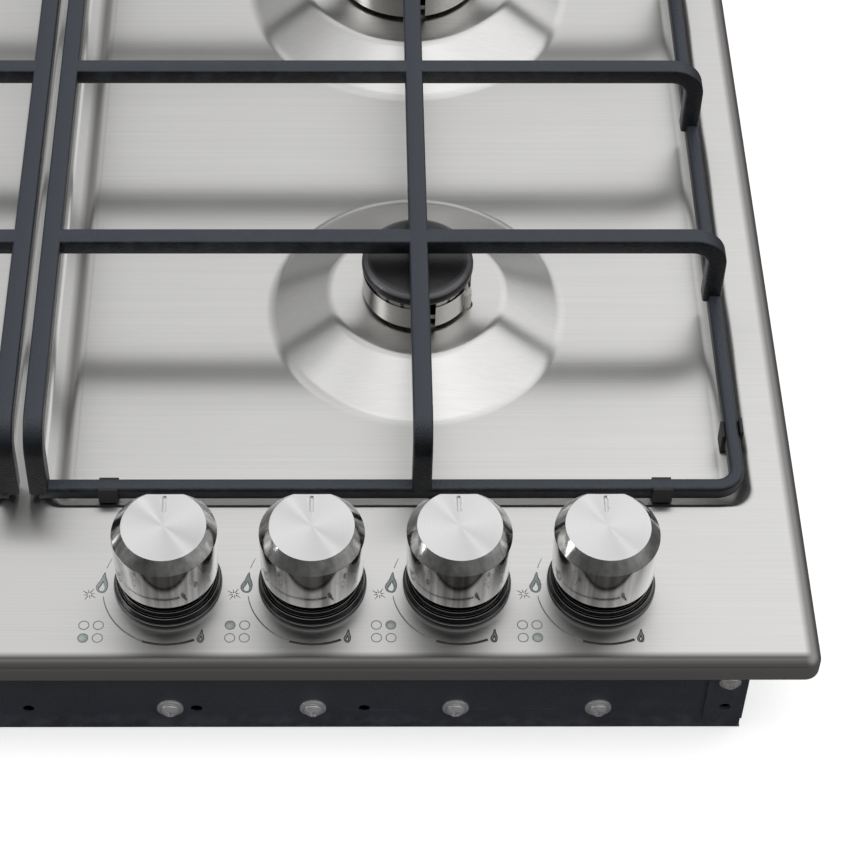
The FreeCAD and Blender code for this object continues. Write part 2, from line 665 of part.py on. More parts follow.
def build_rail():
    y, height = "rail_place", "rail_height"
    wall_inside = "-case_half_depth + case_sheet"
    pieces = [rod("rail_tube", "rail_start", y, height, "rail_radius", "rail_end - rail_start", "X")]
    bores = [rod("rail_bore", "rail_start + 2", y, height, "rail_radius - rail_wall",
                 "rail_end - rail_start", "X")]
    for number, x in enumerate(KNOBS):
        pieces.append(rod("rail_boss_%d" % number, x, wall_inside, height, "boss_radius",
                          "rail_place + rail_radius + gap - (%s)" % wall_inside, "Y"))
        bores.append(rod("rail_thread_%d" % number, x, "-case_half_depth - 1", height,
                         "screw_radius + 0.05", "case_sheet + 7.5", "Y"))
    keep(cut("rail_cut", fuse("rail_solid", pieces), bores), "gas_rail")


def build_supply():
    y_notch = size("case_half_depth - notch_depth")
    across, height, rail = size("supply_place"), size("inlet_height"), size("rail_height")
    end = size("rail_end + seat_gap")
    place = size("rail_place")
    points = [(end, place, rail), (across + 12, place, rail), (across + 12, place + 70, height),
              (across, place + 130, height), (across, y_notch + 8, height)]
    keep(made("supply_tube", [tube(points, 11, size("supply_radius"))]), "supply_pipe")
    x, y = "supply_place", "case_half_depth - notch_depth + 22"
    wall = "case_half_depth - notch_depth"
    pieces = [
        rod("elbow_stem", x, y, "inlet_low + thread_long", "supply_radius + 5",
            "inlet_height - inlet_low - 8", "Z"),
        rod("elbow_thread", x, y, "inlet_low", "thread_radius", "thread_long", "Z"),
        rod("elbow_arm", x, wall + " + seat_gap", "inlet_height", "supply_radius + 3.5", "22", "Y"),
    ]
    bores = [
        rod("elbow_bore", x, y, "inlet_low - 1", "supply_radius + 1", "inlet_height - inlet_low + 4", "Z"),
        rod("elbow_socket", x, wall + " - 1", "inlet_height", "supply_radius + 0.05", "16", "Y"),
    ]
    keep(cut("elbow_cut", fuse("elbow_solid", pieces), bores), "inlet_elbow")
    gland = turned("gland_body", [
        ("gland_radius - 2", "-8"), ("gland_radius", "-8"), ("gland_radius", "0"),
        ("gland_radius + 2.5", "0"), ("gland_radius + 2.5", "4"), ("gland_radius + 1", "8"),
        ("gland_radius - 2", "8")])
    gland.Placement.Rotation = FreeCAD.Rotation(FreeCAD.Vector(0, 1, 0), 90)
    move(gland, "case_half_width - notch_width + seat_gap", "gland_place", "inlet_height")
    keep(gland, "mains_gland")


def build_switch_strip():
    low = "tap_high + gap"
    strip = box("strip_plate", "knob_first - 13", "knob_front - 9.5", low,
                "3 * knob_pitch + 26", "19", "2.2")
    pieces = [strip]
    holes = []
    for number, x in enumerate(KNOBS):
        holes.append(rod("strip_hole_%d" % number, x, "knob_front", low + " - 1", "neck_radius + 0.4", "9"))
        pieces.append(box("strip_switch_%d" % number, x + " + 12", "knob_front - 5", low + " + 1",
                          "11", "10", "7"))
    keep(cut("strip_cut", fuse("strip_solid", pieces), holes), "ignition_switch_strip")


# ---------------------------------------------------------------- burner pieces

def build_crown(burner):
    name, x, y, crown, inner, outer, slots, angle = burner
    body = turned("crown_body_" + name, [
        (crown + " - 12.1", "crown_low - 7"), (crown + " - 9.3", "crown_low - 7"),
        (crown + " - 9.3", "crown_low"), (crown, "crown_low"), (crown, "crown_high - port_band"),
        (crown + " - port_inset", "crown_high - port_band"), (crown + " - port_inset", "crown_high"),
        (crown + " - crown_wall", "crown_high"), (crown + " - crown_wall", "crown_low + 2.3"),
        (crown + " - 12.1", "crown_low + 2.3")], x, y)
    doc.recompute()
    notch = new_sketch(body, "XY_Plane", "crown_high")
    for probe in ("probe_angle", "sensor_angle"):
        px, py = polar("0", "0", crown + " - probe_inset", probe)
        add_circle(notch, px, py, "probe_radius + 1")
    pocket(body, notch, "crown_high - crown_low + 1")
    gate = new_sketch(body, "XZ_Plane", crown + " - 5")
    add_rectangle(gate, "gate_place", "crown_low - 1", "gate_place + gate_wide", "crown_high + 1")
    pocket(body, gate, "6", upwards=True)
    slot = new_sketch(body, "XY_Plane", "crown_high")
    add_rectangle(slot, crown + " - 5", "-flame_slot / 2", crown + " + 1", "flame_slot / 2")
    first = pocket(body, slot, "flame_slot_tall")
    pattern = body.newObject("PartDesign::PolarPattern", body.Name + "_slots")
    pattern.Originals = [first]
    pattern.Axis = (plane(body, "Z_Axis"), [""])
    pattern.Angle = 360
    pattern.Occurrences = slots
    body.Tip = pattern
    keep(body, "burner_crown_" + name)


def build_cap(burner):
    name, x, y, crown = burner[:4]
    low = "crown_high + gap"
    rim = crown + " + cap_overhang"
    body = turned("cap_body_" + name, [
        ("0", low), (crown + " - 5.5", low), (crown + " - 5.5", low + " - 3"),
        (crown + " - 4", low + " - 3"), (crown + " - 4", low), (rim, low),
        (rim, low + " + cap_thick"), ("0", low + " + cap_thick")], x, y)
    top = size(low + " + cap_thick")

    def brim(edge, middle):
        return isinstance(edge.Curve, Part.Circle) and abs(middle.z - top) < 0.01
    fillet(body, brim, "cap_round")

    def under(edge, middle):
        round_edge = isinstance(edge.Curve, Part.Circle)
        return round_edge and abs(middle.z - size(low)) < 0.01 and edge.Curve.Radius > size(crown)
    fillet(body, under, "cap_round / 2")
    keep(body, "burner_cap_" + name)


def build_cup(burner):
    name, x, y, crown, inner, outer, slots, angle = burner
    under = PLATEAU_HEIGHT + " - sheet - gap"
    bowl = turned("cup_bowl_" + name, [
        ("0", "cup_low"), ("12", "cup_low"), ("12", "cup_low + 23"), (crown + " - 6", "cup_low + 29"),
        (crown + " - 6", under + " - 1.5"), (crown + " + 3", under + " - 1.5"),
        (crown + " + 3", under), (crown + " - 7.5", under), (crown + " - 7.5", "crown_low - gap"),
        (crown + " - 9", "crown_low - gap"), (crown + " - 9", "cup_low + 33"),
        ("5.5", "cup_low + 33"), ("5.5", "cup_low + 19"), ("9", "cup_low + 17"), ("9", "cup_low + 3"),
        ("0", "cup_low + 3")], x, y)
    stub = rod("cup_stub_" + name, x, y, "pipe_height", "stub_radius", "stub_long", "X")
    stub.Placement.Rotation = FreeCAD.Rotation(FreeCAD.Vector(0, 1, 0), 90)
    stub_bore = rod("cup_stub_bore_" + name, x, y, "pipe_height", "pipe_radius - 1", "stub_long + 1", "X")
    hollow = rod("cup_hollow_" + name, x, y, "cup_low + 3", "9", "14")
    if angle == 270:
        for thing in (stub, stub_bore):
            thing.Placement.Rotation = FreeCAD.Rotation(FreeCAD.Vector(1, 0, 0), 90)
    across = angle == 270
    window = box("cup_window_" + name, x + (" - 14" if across else " - 3.5"),
                 y + (" - 3.5" if across else " - 14"), "cup_low + 9.5",
                 "28" if across else "7", "7" if across else "28", "6")
    tools = [stub_bore, hollow, window]
    for number, (px, py) in enumerate(probe_places(burner)):
        tools.append(rod("cup_probe_hole_%s_%d" % (name, number), px, py, under + " - 3",
                         "probe_radius + 0.3", "8"))
    cup = cut("cup_cut_" + name, fuse("cup_solid_" + name, [bowl, stub]), tools)
    keep(cup, "burner_cup_" + name)


def build_probes():
    """Injectors, spark electrodes and thermocouples with their capillary leads."""
    injectors, electrodes, sensors = [], [], []
    under = size(PLATEAU_HEIGHT + " - sheet - gap") - 1.8
    foot = size("probe_foot")
    lead_level = size("lead_level")
    rear = size(TAP_REAR + " + 12")
    side, front, behind = size("burner_side"), size("burner_front"), size("burner_rear")
    ways = {
        "front_left": [], "rear_left": [],
        "rear_right": [(side - 24, behind - 94), (side - 19, front - 43)],
        "front_right": [(side + 46, front - 13)],
    }
    for number, burner in enumerate(BURNERS):
        name, x, y, crown = burner[:4]
        injectors.append(turned("injector_" + name, [
            ("0.6", "cup_low + 3"), ("3.5", "cup_low + 3"), ("3.5", "cup_low + 7"),
            ("2.4", "cup_low + 8.5"), ("1.4", "cup_low + 12"), ("0.6", "cup_low + 12")], x, y, "seat_gap"))
        (ex, ey), (sx, sy) = probe_places(burner)
        collar = PLATEAU_HEIGHT + " - sheet - 2 * gap - 1.5"
        electrodes.append(turned("electrode_" + name, [
            ("0", "probe_foot"), ("probe_radius", "probe_foot"), ("probe_radius", collar + " - 3"),
            ("probe_radius + 1.4", collar + " - 3"), ("probe_radius + 1.4", collar),
            ("probe_radius", collar), ("probe_radius", "crown_low + 6.5"), ("1", "crown_low + 7"),
            ("1", "crown_high - 2"), ("0", "crown_high - 2")], ex, ey))
        probe = turned("sensor_" + name, [
            ("0", "probe_foot"), ("probe_radius - 0.4", "probe_foot"),
            ("probe_radius - 0.4", collar + " - 4"),
            ("probe_radius + 1.4", collar + " - 4"), ("probe_radius + 1.4", collar),
            ("probe_radius - 0.4", collar), ("probe_radius - 0.4", "crown_low + 5"),
            ("1.6", "crown_low + 6"), ("1.6", "crown_high - 3"), ("0", "crown_high - 3")], sx, sy)
        tap_x = size(KNOBS[number])
        px, py = size(sx), size(sy)
        route = [(px, py, foot + 1), (px, py, lead_level)]
        route += [(a, b, lead_level) for a, b in ways[name]]
        route += [(tap_x, rear + 22, lead_level), (tap_x, rear, lead_level)]
        lead = made("sensor_lead_" + name, [tube(route, 6, size("lead_radius"))])
        sensors.append(fuse("thermocouple_" + name, [probe, lead]))
    keep(group("injector_set", injectors), "injectors")
    keep(group("electrode_set", electrodes), "spark_electrodes")
    keep(group("thermocouple_set", sensors), "thermocouples")


def build_pipes():
    """Gas pipes from the taps to the burner cups."""
    level = size("pipe_height")
    start = size(TAP_REAR + " + 8 + seat_gap")
    side, front, rear = size("burner_side"), size("burner_front"), size("burner_rear")
    reach = size("stub_long + seat_gap")
    taps = [size(x) for x in KNOBS]
    routes = [
        [(taps[0], start), (taps[0], start + 22), (taps[0] - 26, start + 38), (-side + 30, start + 38),
         (-side, front - 46), (-side, front - reach)],
        [(taps[1], start), (taps[1], start + 18), (side - 68, start + 42), (side - 68, rear - 124),
         (side - 88, rear - 92), (-side + 40, rear - 92), (-side, rear - 54), (-side, rear - reach)],
        [(taps[2], start), (taps[2], start + 18), (side - 38, start + 52), (side - 38, rear - 74),
         (side, rear - 38), (side, rear - reach)],
        [(taps[3], start), (taps[3], front), (side + reach, front)],
    ]
    solids = []
    for route in routes:
        solids.append(tube([(x, y, level) for x, y in route], 9, size("pipe_radius")))
    keep(made("pipe_set", solids), "burner_pipes")


def build_ignition():
    x, y = "generator_x", "generator_y"
    pieces = [box("generator_case", x, y, "case_sheet + seat_gap", "generator_long",
                  "generator_deep", "generator_tall"),
              box("generator_ears", x + " - 9", y + " + 12", "case_sheet + seat_gap",
                  "generator_long + 18", "16", "2.5")]
    keep(fuse("generator_solid", pieces), "spark_generator")
    level, foot = size("wire_level"), size("probe_foot - seat_gap")
    left, back = size(x), size(y + " - seat_gap")
    port_pitch = size("generator_long") / 4
    order = ("rear_left", "front_left", "front_right", "rear_right")
    wires = []
    for burner in BURNERS:
        (ex, ey), sensor = probe_places(burner)
        px, py = size(ex), size(ey)
        port = left + (order.index(burner[0]) + 0.5) * port_pitch
        route = [(px, py, foot), (px, py, level), (port, back - 18, level), (port, back, level)]
        wires.append(tube(route, 6, size("wire_radius")))
    keep(made("wire_set", wires), "ignition_leads")


# ---------------------------------------------------------------- pan supports

def long_bar(name, x):
    """A bar from front to rear whose ends bend down to the outer frame."""
    body = new_body(name)
    sketch = new_sketch(body, "YZ_Plane", x)
    foot = "frame_high - 1"
    add_polygon(sketch, [
        ("frame_front", foot), ("frame_front", "bar_top"), ("frame_rear", "bar_top"),
        ("frame_rear", foot), ("frame_rear - bar_foot", foot),
        ("frame_rear - bar_foot", "bar_top - bar_tall"),
        ("frame_front + bar_foot", "bar_top - bar_tall"), ("frame_front + bar_foot", foot)])
    pad(body, sketch, "bar_width", both_ways=True)
    round_bends(body, "y")
    return body


def cross_bar(name, y):
    """A bar from the inner bar to the right, with its outer end bent down to the frame."""
    body = new_body(name)
    sketch = new_sketch(body, "XZ_Plane", "-(%s)" % y)
    add_polygon(sketch, [
        ("inner_bar", "bar_top - bar_tall"), ("inner_bar", "bar_top"), ("frame_outer", "bar_top"),
        ("frame_outer", "frame_high - 1"), ("frame_outer - bar_foot", "frame_high - 1"),
        ("frame_outer - bar_foot", "bar_top - bar_tall")])
    pad(body, sketch, "bar_width", both_ways=True)
    round_bends(body, "x")
    return body


def round_bends(body, axis):
    """Bend radii at the corners of a bar, larger outside than inside."""
    top, under = size("bar_top"), size("bar_top - bar_tall")

    def across(edge, middle, height):
        along = edge.tangentAt(edge.FirstParameter)
        crosswise = abs(along.x if axis == "y" else along.y) > 0.9
        inner_end = axis == "x" and middle.x < 100
        return crosswise and abs(middle.z - height) < 0.01 and not inner_end
    fillet(body, lambda edge, middle: across(edge, middle, top), "bar_bend")
    fillet(body, lambda edge, middle: across(edge, middle, under), "bar_bend - bar_tall + 1")


def build_support():
    frame = new_body("frame_bar")
    outline = new_sketch(frame, "XY_Plane", "frame_high - frame_tall")
    left = "inner_bar - bar_width / 2"
    add_rectangle(outline, left, "frame_front", "frame_outer", "frame_rear")
    pad(frame, outline, "frame_tall")
    inside = new_sketch(frame, "XY_Plane", "frame_high - frame_tall")
    add_rectangle(inside, left + " - 1", "frame_front + frame_width", "frame_outer - frame_width",
                  "frame_rear - frame_width")
    pocket(frame, inside, "frame_tall + 1", upwards=True)
    ridge = new_sketch(frame, "XY_Plane", "frame_high - frame_tall")
    add_rectangle(ridge, left + " - 1", "frame_front - 1", "ridge_reach", "frame_rear + 1")
    pocket(frame, ridge, "ridge_relief", upwards=True)

    def corner(edge, middle, place):
        upright = abs(edge.tangentAt(edge.FirstParameter).z) > 0.9
        return upright and middle.x > size(place) - 0.01 and middle.x < size(place) + 0.01
    fillet(frame, lambda edge, middle: corner(edge, middle, "frame_outer"), "frame_corner")
    fillet(frame, lambda edge, middle: corner(edge, middle, "frame_outer - frame_width"),
           "frame_corner - frame_width")
    high = size("frame_high")
    fillet(frame, lambda edge, middle: abs(middle.z - high) < 0.01 and middle.x > 10, "1.2")
    bars = [frame, long_bar("inner_bar_body", "inner_bar"), long_bar("centre_bar_body", "burner_side")]
    for number in range(3):
        bars.append(cross_bar("cross_bar_%d" % number, "burner_front + %d * cross_pitch" % number))
    right = fuse("support_welded", bars)
    keep(right, "pan_support_right")
    feet = group("feet_set", support_feet())
    keep(feet, "support_feet_right")
    for source, label in ((right, "pan_support_left"), (feet, "support_feet_left")):
        twin = doc.addObject("Part::Mirroring", source.Name + "_mirrored")
        twin.Source = source
        twin.Normal = FreeCAD.Vector(1, 0, 0)
        keep(twin, label)


def support_feet():
    """Rubber channels pressed over the frame bar; each rests on the slope of the well."""
    centre_y = "frame_front + frame_width / 2"
    centre_x = "frame_outer - frame_width / 2"
    rear_y = "frame_rear - frame_width / 2"
    places = []
    for x in ("foot_near", "foot_far"):
        places.append((x, centre_y, 0, "frame_front + frame_width / 2 - well_front"))
        places.append((x, rear_y, 180, "frame_front + frame_width / 2 - well_front"))
    middle = "(frame_front + frame_rear) / 2"
    for way in (-1, 1):
        places.append((centre_x, "%s + %d * foot_side" % (middle, way), 90,
                       "well_outer - (%s)" % centre_x))
    feet = []
    half, floor = "frame_width / 2 + foot_grip", FLOOR_HEIGHT
    cheek = half + " + foot_wall"
    web = "frame_high - frame_tall - foot_grip"
    inner_high, outer_high = "frame_high - foot_lip", "frame_high - 2 * foot_grip"
    for number, (x, y, turn, rim) in enumerate(places):
        body = new_body("foot_%d" % number)
        sketch = new_sketch(body, "YZ_Plane")
        outer_low = "plate_height - well_drop * (%s - (%s)) / well_slope + foot_rise" % (rim, cheek)
        add_polygon(sketch, [
            (cheek, floor + " + gap"), (cheek, inner_high), (half, inner_high),
            (half, web), ("-(%s)" % half, web), ("-(%s)" % half, outer_high),
            ("-(%s)" % cheek, outer_high), ("-(%s)" % cheek, outer_low),
            ("well_slope - (%s) + 0.1" % rim, floor + " + gap")])
        pad(body, sketch, "foot_width", both_ways=True)
        body.Placement.Rotation = FreeCAD.Rotation(FreeCAD.Vector(0, 0, 1), turn)
        feet.append(move(body, x, y))
    return feet


# ---------------------------------------------------------------- build, test and write

build_top_plate()
build_case()
build_front_wall()
build_seal()
build_screws()
for place, knob_x in enumerate(KNOBS):
    build_knob(place, knob_x)
    build_tap(place, knob_x)
keep(group("bezel_set", [build_bezel(place, knob_x) for place, knob_x in enumerate(KNOBS)]), "knob_bezels")
build_rail()
build_supply()
build_switch_strip()
for each in BURNERS:
    build_crown(each)
    build_cap(each)
    build_cup(each)
build_probes()
build_pipes()
build_ignition()
build_support()
doc.recompute()

faults = [thing.Name for thing in doc.Objects if "Invalid" in thing.State or "Error" in thing.State]
for thing in subparts:
    if thing.Shape.isNull() or not thing.Shape.isValid():
        faults.append(thing.Label)
if faults:
    raise RuntimeError("these pieces did not build: " + ", ".join(faults))

os.makedirs("parts", exist_ok=True)
for thing in subparts:
    thing.Shape.exportStep(os.path.join("parts", thing.Label + ".step"))
    print("%-24s %2d solids %12.1f mm3" % (thing.Label, len(thing.Shape.Solids), thing.Shape.Volume))
print(len(subparts), "sub-parts")
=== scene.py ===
import bpy
import bmesh
import json
import math
from mathutils import Matrix, Vector

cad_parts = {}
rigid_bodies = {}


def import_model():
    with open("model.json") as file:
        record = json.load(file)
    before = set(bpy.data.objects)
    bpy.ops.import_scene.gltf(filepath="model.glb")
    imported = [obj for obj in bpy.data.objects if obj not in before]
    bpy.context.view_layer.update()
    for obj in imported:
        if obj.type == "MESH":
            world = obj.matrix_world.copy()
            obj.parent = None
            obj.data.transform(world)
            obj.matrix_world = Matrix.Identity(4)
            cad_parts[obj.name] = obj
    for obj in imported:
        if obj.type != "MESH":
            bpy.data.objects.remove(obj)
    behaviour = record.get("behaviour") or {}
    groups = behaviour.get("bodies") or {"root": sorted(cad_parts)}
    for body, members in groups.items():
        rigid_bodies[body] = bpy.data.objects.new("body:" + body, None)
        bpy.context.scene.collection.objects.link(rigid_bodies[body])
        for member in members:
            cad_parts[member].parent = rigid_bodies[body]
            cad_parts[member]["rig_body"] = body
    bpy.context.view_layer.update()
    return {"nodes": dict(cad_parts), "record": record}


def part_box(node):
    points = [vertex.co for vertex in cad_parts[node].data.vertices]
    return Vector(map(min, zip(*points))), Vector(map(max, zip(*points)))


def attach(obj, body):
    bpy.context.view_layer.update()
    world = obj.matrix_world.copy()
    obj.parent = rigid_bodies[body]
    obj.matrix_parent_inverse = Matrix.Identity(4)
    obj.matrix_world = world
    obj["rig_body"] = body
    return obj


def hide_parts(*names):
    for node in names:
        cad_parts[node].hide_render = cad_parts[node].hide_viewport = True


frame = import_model()
MM = 0.001
NODES = frame["nodes"]

# ---------------- places read from the frame

PLATE_LOW, PLATE_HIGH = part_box("top_plate")
LIP_TALL = 9 * MM
PANEL = PLATE_LOW.z + LIP_TALL
SHEET = 0.9 * MM
LIP_ROUND = 4 * MM
PLATE_CORNER = 6 * MM
WELL_DROP = 6 * MM
WELL_SLOPE = 9 * MM
WELL_CORNER = 8 * MM
WELL_X = (6.2 * MM, 272.7 * MM)
WELL_Y = (-179.8 * MM, 215.8 * MM)
WELL_RIM_ROUND, WELL_FOOT_ROUND = 3.2 * MM, 6 * MM
FLOOR = PANEL - WELL_DROP
PLATEAU_RISE = 11.5 * MM
PLATEAU = FLOOR + PLATEAU_RISE
PLATEAU_TOP_ROUND, PLATEAU_FOOT_ROUND = 8 * MM, 10 * MM
# burner name: radius at the top and at the foot of the raised plateau under it
BURNERS = {
    "front_left": (62 * MM, 84 * MM),
    "rear_left": (48 * MM, 70 * MM),
    "rear_right": (48 * MM, 70 * MM),
    "front_right": (35 * MM, 58.2 * MM),
}
# the electrode and the thermocouple beside each burner: angles in degrees, inset from the crown's edge
PROBE_ANGLES = (-22, 82)
PROBE_INSET = 1.3 * MM
PROBE_HOLE = 3.3 * MM
CUP_HOLE_INSET = 6.5 * MM
SPINDLE_HOLE = 8 * MM


def middle(node):
    low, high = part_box(node)
    return (low + high) / 2


def reach(node):
    """Half the width of a node."""
    low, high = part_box(node)
    return (high.x - low.x) / 2


KNOB_SPOTS = [middle("spindle_%d" % n) for n in range(1, 5)]
CAP_OVERHANG = 0.4 * MM
BURNER_SPOTS = {name: middle("burner_cap_" + name) for name in BURNERS}
CROWN_RADIUS = {name: reach("burner_cap_" + name) - CAP_OVERHANG for name in BURNERS}

# ---------------- mesh helpers

NEARLY_STRAIGHT = math.radians(89.5)
ON_AXIS = 1e-7
SAME_SPOT = 1e-6
LEVEL = 0.999999
SHARP_CORNER = 35
FULL_TURN = 2 * math.pi


def arc_points(points, radius, steps, closed=False):
    """A 2-D outline with its corners rounded by one radius or by one for each; radius 0 stays sharp."""
    count = len(points)
    radii = radius if isinstance(radius, (list, tuple)) else [radius] * count
    result = []
    for i, here in enumerate(points):
        here = Vector(here)
        if (not closed and i in (0, count - 1)) or radii[i] == 0:
            result.append(here)
            continue
        before = (Vector(points[i - 1]) - here).normalized()
        after = (Vector(points[(i + 1) % count]) - here).normalized()
        half = before.angle(after) / 2
        if half > NEARLY_STRAIGHT:
            result.append(here)
            continue
        back = radii[i] / math.tan(half)
        centre = here + (before + after).normalized() * (radii[i] / math.sin(half))
        start, end = here + before * back - centre, here + after * back - centre
        sweep = math.pi - 2 * half
        turn = 1 if start.x * end.y - start.y * end.x > 0 else -1
        for step in range(steps + 1):
            angle = turn * sweep * step / steps
            spun = Vector((start.x * math.cos(angle) - start.y * math.sin(angle),
                           start.x * math.sin(angle) + start.y * math.cos(angle)))
            result.append(centre + spun)
    return result


def rounded_rectangle(x0, y0, x1, y1, radius, steps=8):
    corners = [(x1, y0), (x1, y1), (x0, y1), (x0, y0)]
    return arc_points(corners, radius, steps, closed=True)


def circle_points(x, y, radius, steps):
    turn = FULL_TURN / steps
    return [Vector((x + radius * math.cos(i * turn), y + radius * math.sin(i * turn)))
            for i in range(steps)]


def ring_of(mesh, points, z):
    return [mesh.verts.new((p[0], p[1], z)) for p in points]


def join_rings(mesh, first, second):
    count = len(first)
    for i in range(count):
        after = (i + 1) % count
        mesh.faces.new((first[i], first[after], second[after], second[i]))


def join_all(mesh, rings):
    """Skin a row of rings; returns its first and its last ring."""
    for first, second in zip(rings, rings[1:]):
        join_rings(mesh, first, second)
    return rings[0], rings[-1]


def fill_between(mesh, rings):
    """A flat sheet bounded by one outer ring and pierced by the inner ones."""
    edges = []
    for ring in rings:
        for i, vert in enumerate(ring):
            other = ring[(i + 1) % len(ring)]
            edges.append(mesh.edges.get((vert, other)) or mesh.edges.new((vert, other)))
    bmesh.ops.triangle_fill(mesh, edges=edges, use_beauty=True, normal=(0, 0, 1))


def as_piece(name, mesh, material, body="hob", smooth=SHARP_CORNER):
    """Turn a bmesh into a piece that rides on a body; edges bent by more than smooth degrees stay sharp."""
    bmesh.ops.recalc_face_normals(mesh, faces=mesh.faces)
    data = bpy.data.meshes.new(name)
    mesh.to_mesh(data)
    mesh.free()
    data.shade_smooth()
    data.set_sharp_from_angle(angle=math.radians(smooth))
    data.materials.append(material)
    piece = bpy.data.objects.new(name, data)
    bpy.context.scene.collection.objects.link(piece)
    if body:
        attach(piece, body)
    return piece


def modify(piece, kind, **settings):
    modifier = piece.modifiers.new(kind.title(), kind)
    for key, value in settings.items():
        setattr(modifier, key, value)


def settle(piece):
    """Replace the piece's mesh by what its modifiers make of it."""
    graph = bpy.context.evaluated_depsgraph_get()
    data = bpy.data.meshes.new_from_object(piece.evaluated_get(graph))
    piece.modifiers.clear()
    piece.data = data


def level_flats(piece):
    """Keep the broad flats exactly level in the shading, also where they meet a rounded edge."""
    data = piece.data
    level = {}
    for polygon in data.polygons:
        if abs(polygon.normal.z) > LEVEL:
            for index in polygon.vertices:
                level[index] = math.copysign(1, polygon.normal.z)
    normals = [Vector(corner.vector) for corner in data.corner_normals]
    mostly_level = 0.7
    for loop in data.loops:
        up = level.get(loop.vertex_index)
        if up and normals[loop.index].z * up > mostly_level:
            normals[loop.index] = Vector((0, 0, up))
    data.normals_split_custom_set(normals)


def turn_profile(mesh, profile, centre, steps):
    """Turn a radius and height profile round an upright axis; radius 0 closes it."""
    rings = []
    for radius, z in profile:
        if radius < ON_AXIS:
            rings.append([mesh.verts.new((centre[0], centre[1], z))])
        else:
            rings.append(ring_of(mesh, circle_points(centre[0], centre[1], radius, steps), z))
    for first, second in zip(rings, rings[1:]):
        if len(first) == len(second):
            join_rings(mesh, first, second)
            continue
        tip, ring = (first, second) if len(first) == 1 else (second, first)
        for i in range(steps):
            mesh.faces.new((tip[0], ring[i], ring[(i + 1) % steps]))


def turned(name, profile, centre, material, body, steps, smooth):
    mesh = bmesh.new()
    turn_profile(mesh, profile, centre, steps)
    return as_piece(name, mesh, material, body, smooth)


def block(mesh, low, high):
    """A box between two corners."""
    made = bmesh.ops.create_cube(mesh, size=1)
    size = Vector(high) - Vector(low)
    spot = (Vector(high) + Vector(low)) / 2
    bmesh.ops.scale(mesh, vec=size, verts=made["verts"])
    bmesh.ops.translate(mesh, vec=spot, verts=made["verts"])


def column(mesh, rings):
    """A closed body from a row of rings, capped at both ends."""
    for cap in join_all(mesh, rings):
        mesh.faces.new(cap)


def carve(piece, cutter_mesh):
    """Cut the cutter's volume out of the piece."""
    cutter = as_piece("cutter", cutter_mesh, piece.data.materials[0], body=None)
    modify(piece, "BOOLEAN", object=cutter, operation="DIFFERENCE", solver="EXACT")
    settle(piece)
    bpy.data.objects.remove(cutter)
    piece.data.set_sharp_from_angle(angle=math.radians(SHARP_CORNER))


def along_path(mesh, path, side, width, height, round_edge):
    """Sweep a rounded bar section along a flat path; side is the path's plane normal."""
    w, h = width / 2, height / 2
    section = arc_points([(-w, -h), (w, -h), (w, h), (-w, h)], round_edge, 4, closed=True)
    rings = []
    for i, spot in enumerate(path):
        before = path[i - 1] if i else spot
        after = path[i + 1] if i < len(path) - 1 else spot
        ahead = (spot - before).normalized() + (after - spot).normalized()
        across = ahead.normalized().cross(side).normalized()
        rings.append([mesh.verts.new(spot + side * p.x + across * p.y) for p in section])
    column(mesh, rings)


# ---------------- effects shared by materials


def new_group(name, inputs, outputs):
    group = bpy.data.node_groups.new(name, "ShaderNodeTree")
    for label, kind, value in inputs:
        socket = group.interface.new_socket(label, in_out="INPUT", socket_type="NodeSocket" + kind)
        if value is not None:
            socket.default_value = value
    for label, kind in outputs:
        group.interface.new_socket(label, in_out="OUTPUT", socket_type="NodeSocket" + kind)
    return group, group.nodes.new("NodeGroupInput"), group.nodes.new("NodeGroupOutput")


def add(tree, kind, **settings):
    """Add a shader node and set it up."""
    node = tree.nodes.new("ShaderNode" + kind)
    for key, value in settings.items():
        setattr(node, key, value)
    return node


def feed(tree, node, **values):
    """Fill inputs by name, with underscores for spaces, or by number as i0 and i1; a socket is linked."""
    for key, value in values.items():
        by_number = key[0] == "i" and key[1:].isdigit()
        socket = node.inputs[int(key[1:]) if by_number else key.replace("_", " ")]
        if isinstance(value, bpy.types.NodeSocket):
            tree.links.new(value, socket)
        else:
            socket.default_value = value
    return node


def noise(tree, place, scale, detail, roughness=0.5):
    return feed(tree, add(tree, "TexNoise"), Vector=place, Scale=scale, Detail=detail,
                Roughness=roughness).outputs["Fac"]


def relief(tree, height, strength, distance):
    bump = add(tree, "Bump")
    return feed(tree, bump, Strength=strength, Distance=distance, Height=height).outputs["Normal"]


def mask_between(tree, value, start, end):
    """A mask that is 0 where the value is at start and 1 where it is at end."""
    return feed(tree, add(tree, "MapRange"), Value=value, From_Min=start, From_Max=end).outputs[0]


def product(tree, first, second):
    return feed(tree, add(tree, "Math", operation="MULTIPLY"), i0=first, i1=second).outputs[0]


def size_of(tree, value):
    """The value without its sign."""
    return feed(tree, add(tree, "Math", operation="ABSOLUTE"), i0=value).outputs[0]


def parts_of(tree, vector):
    return feed(tree, add(tree, "SeparateXYZ"), Vector=vector).outputs


def upward(tree):
    """How far the surface looks up: 1 on a level top, 0 on an upright wall."""
    return parts_of(tree, add(tree, "NewGeometry").outputs["Normal"])["Z"]


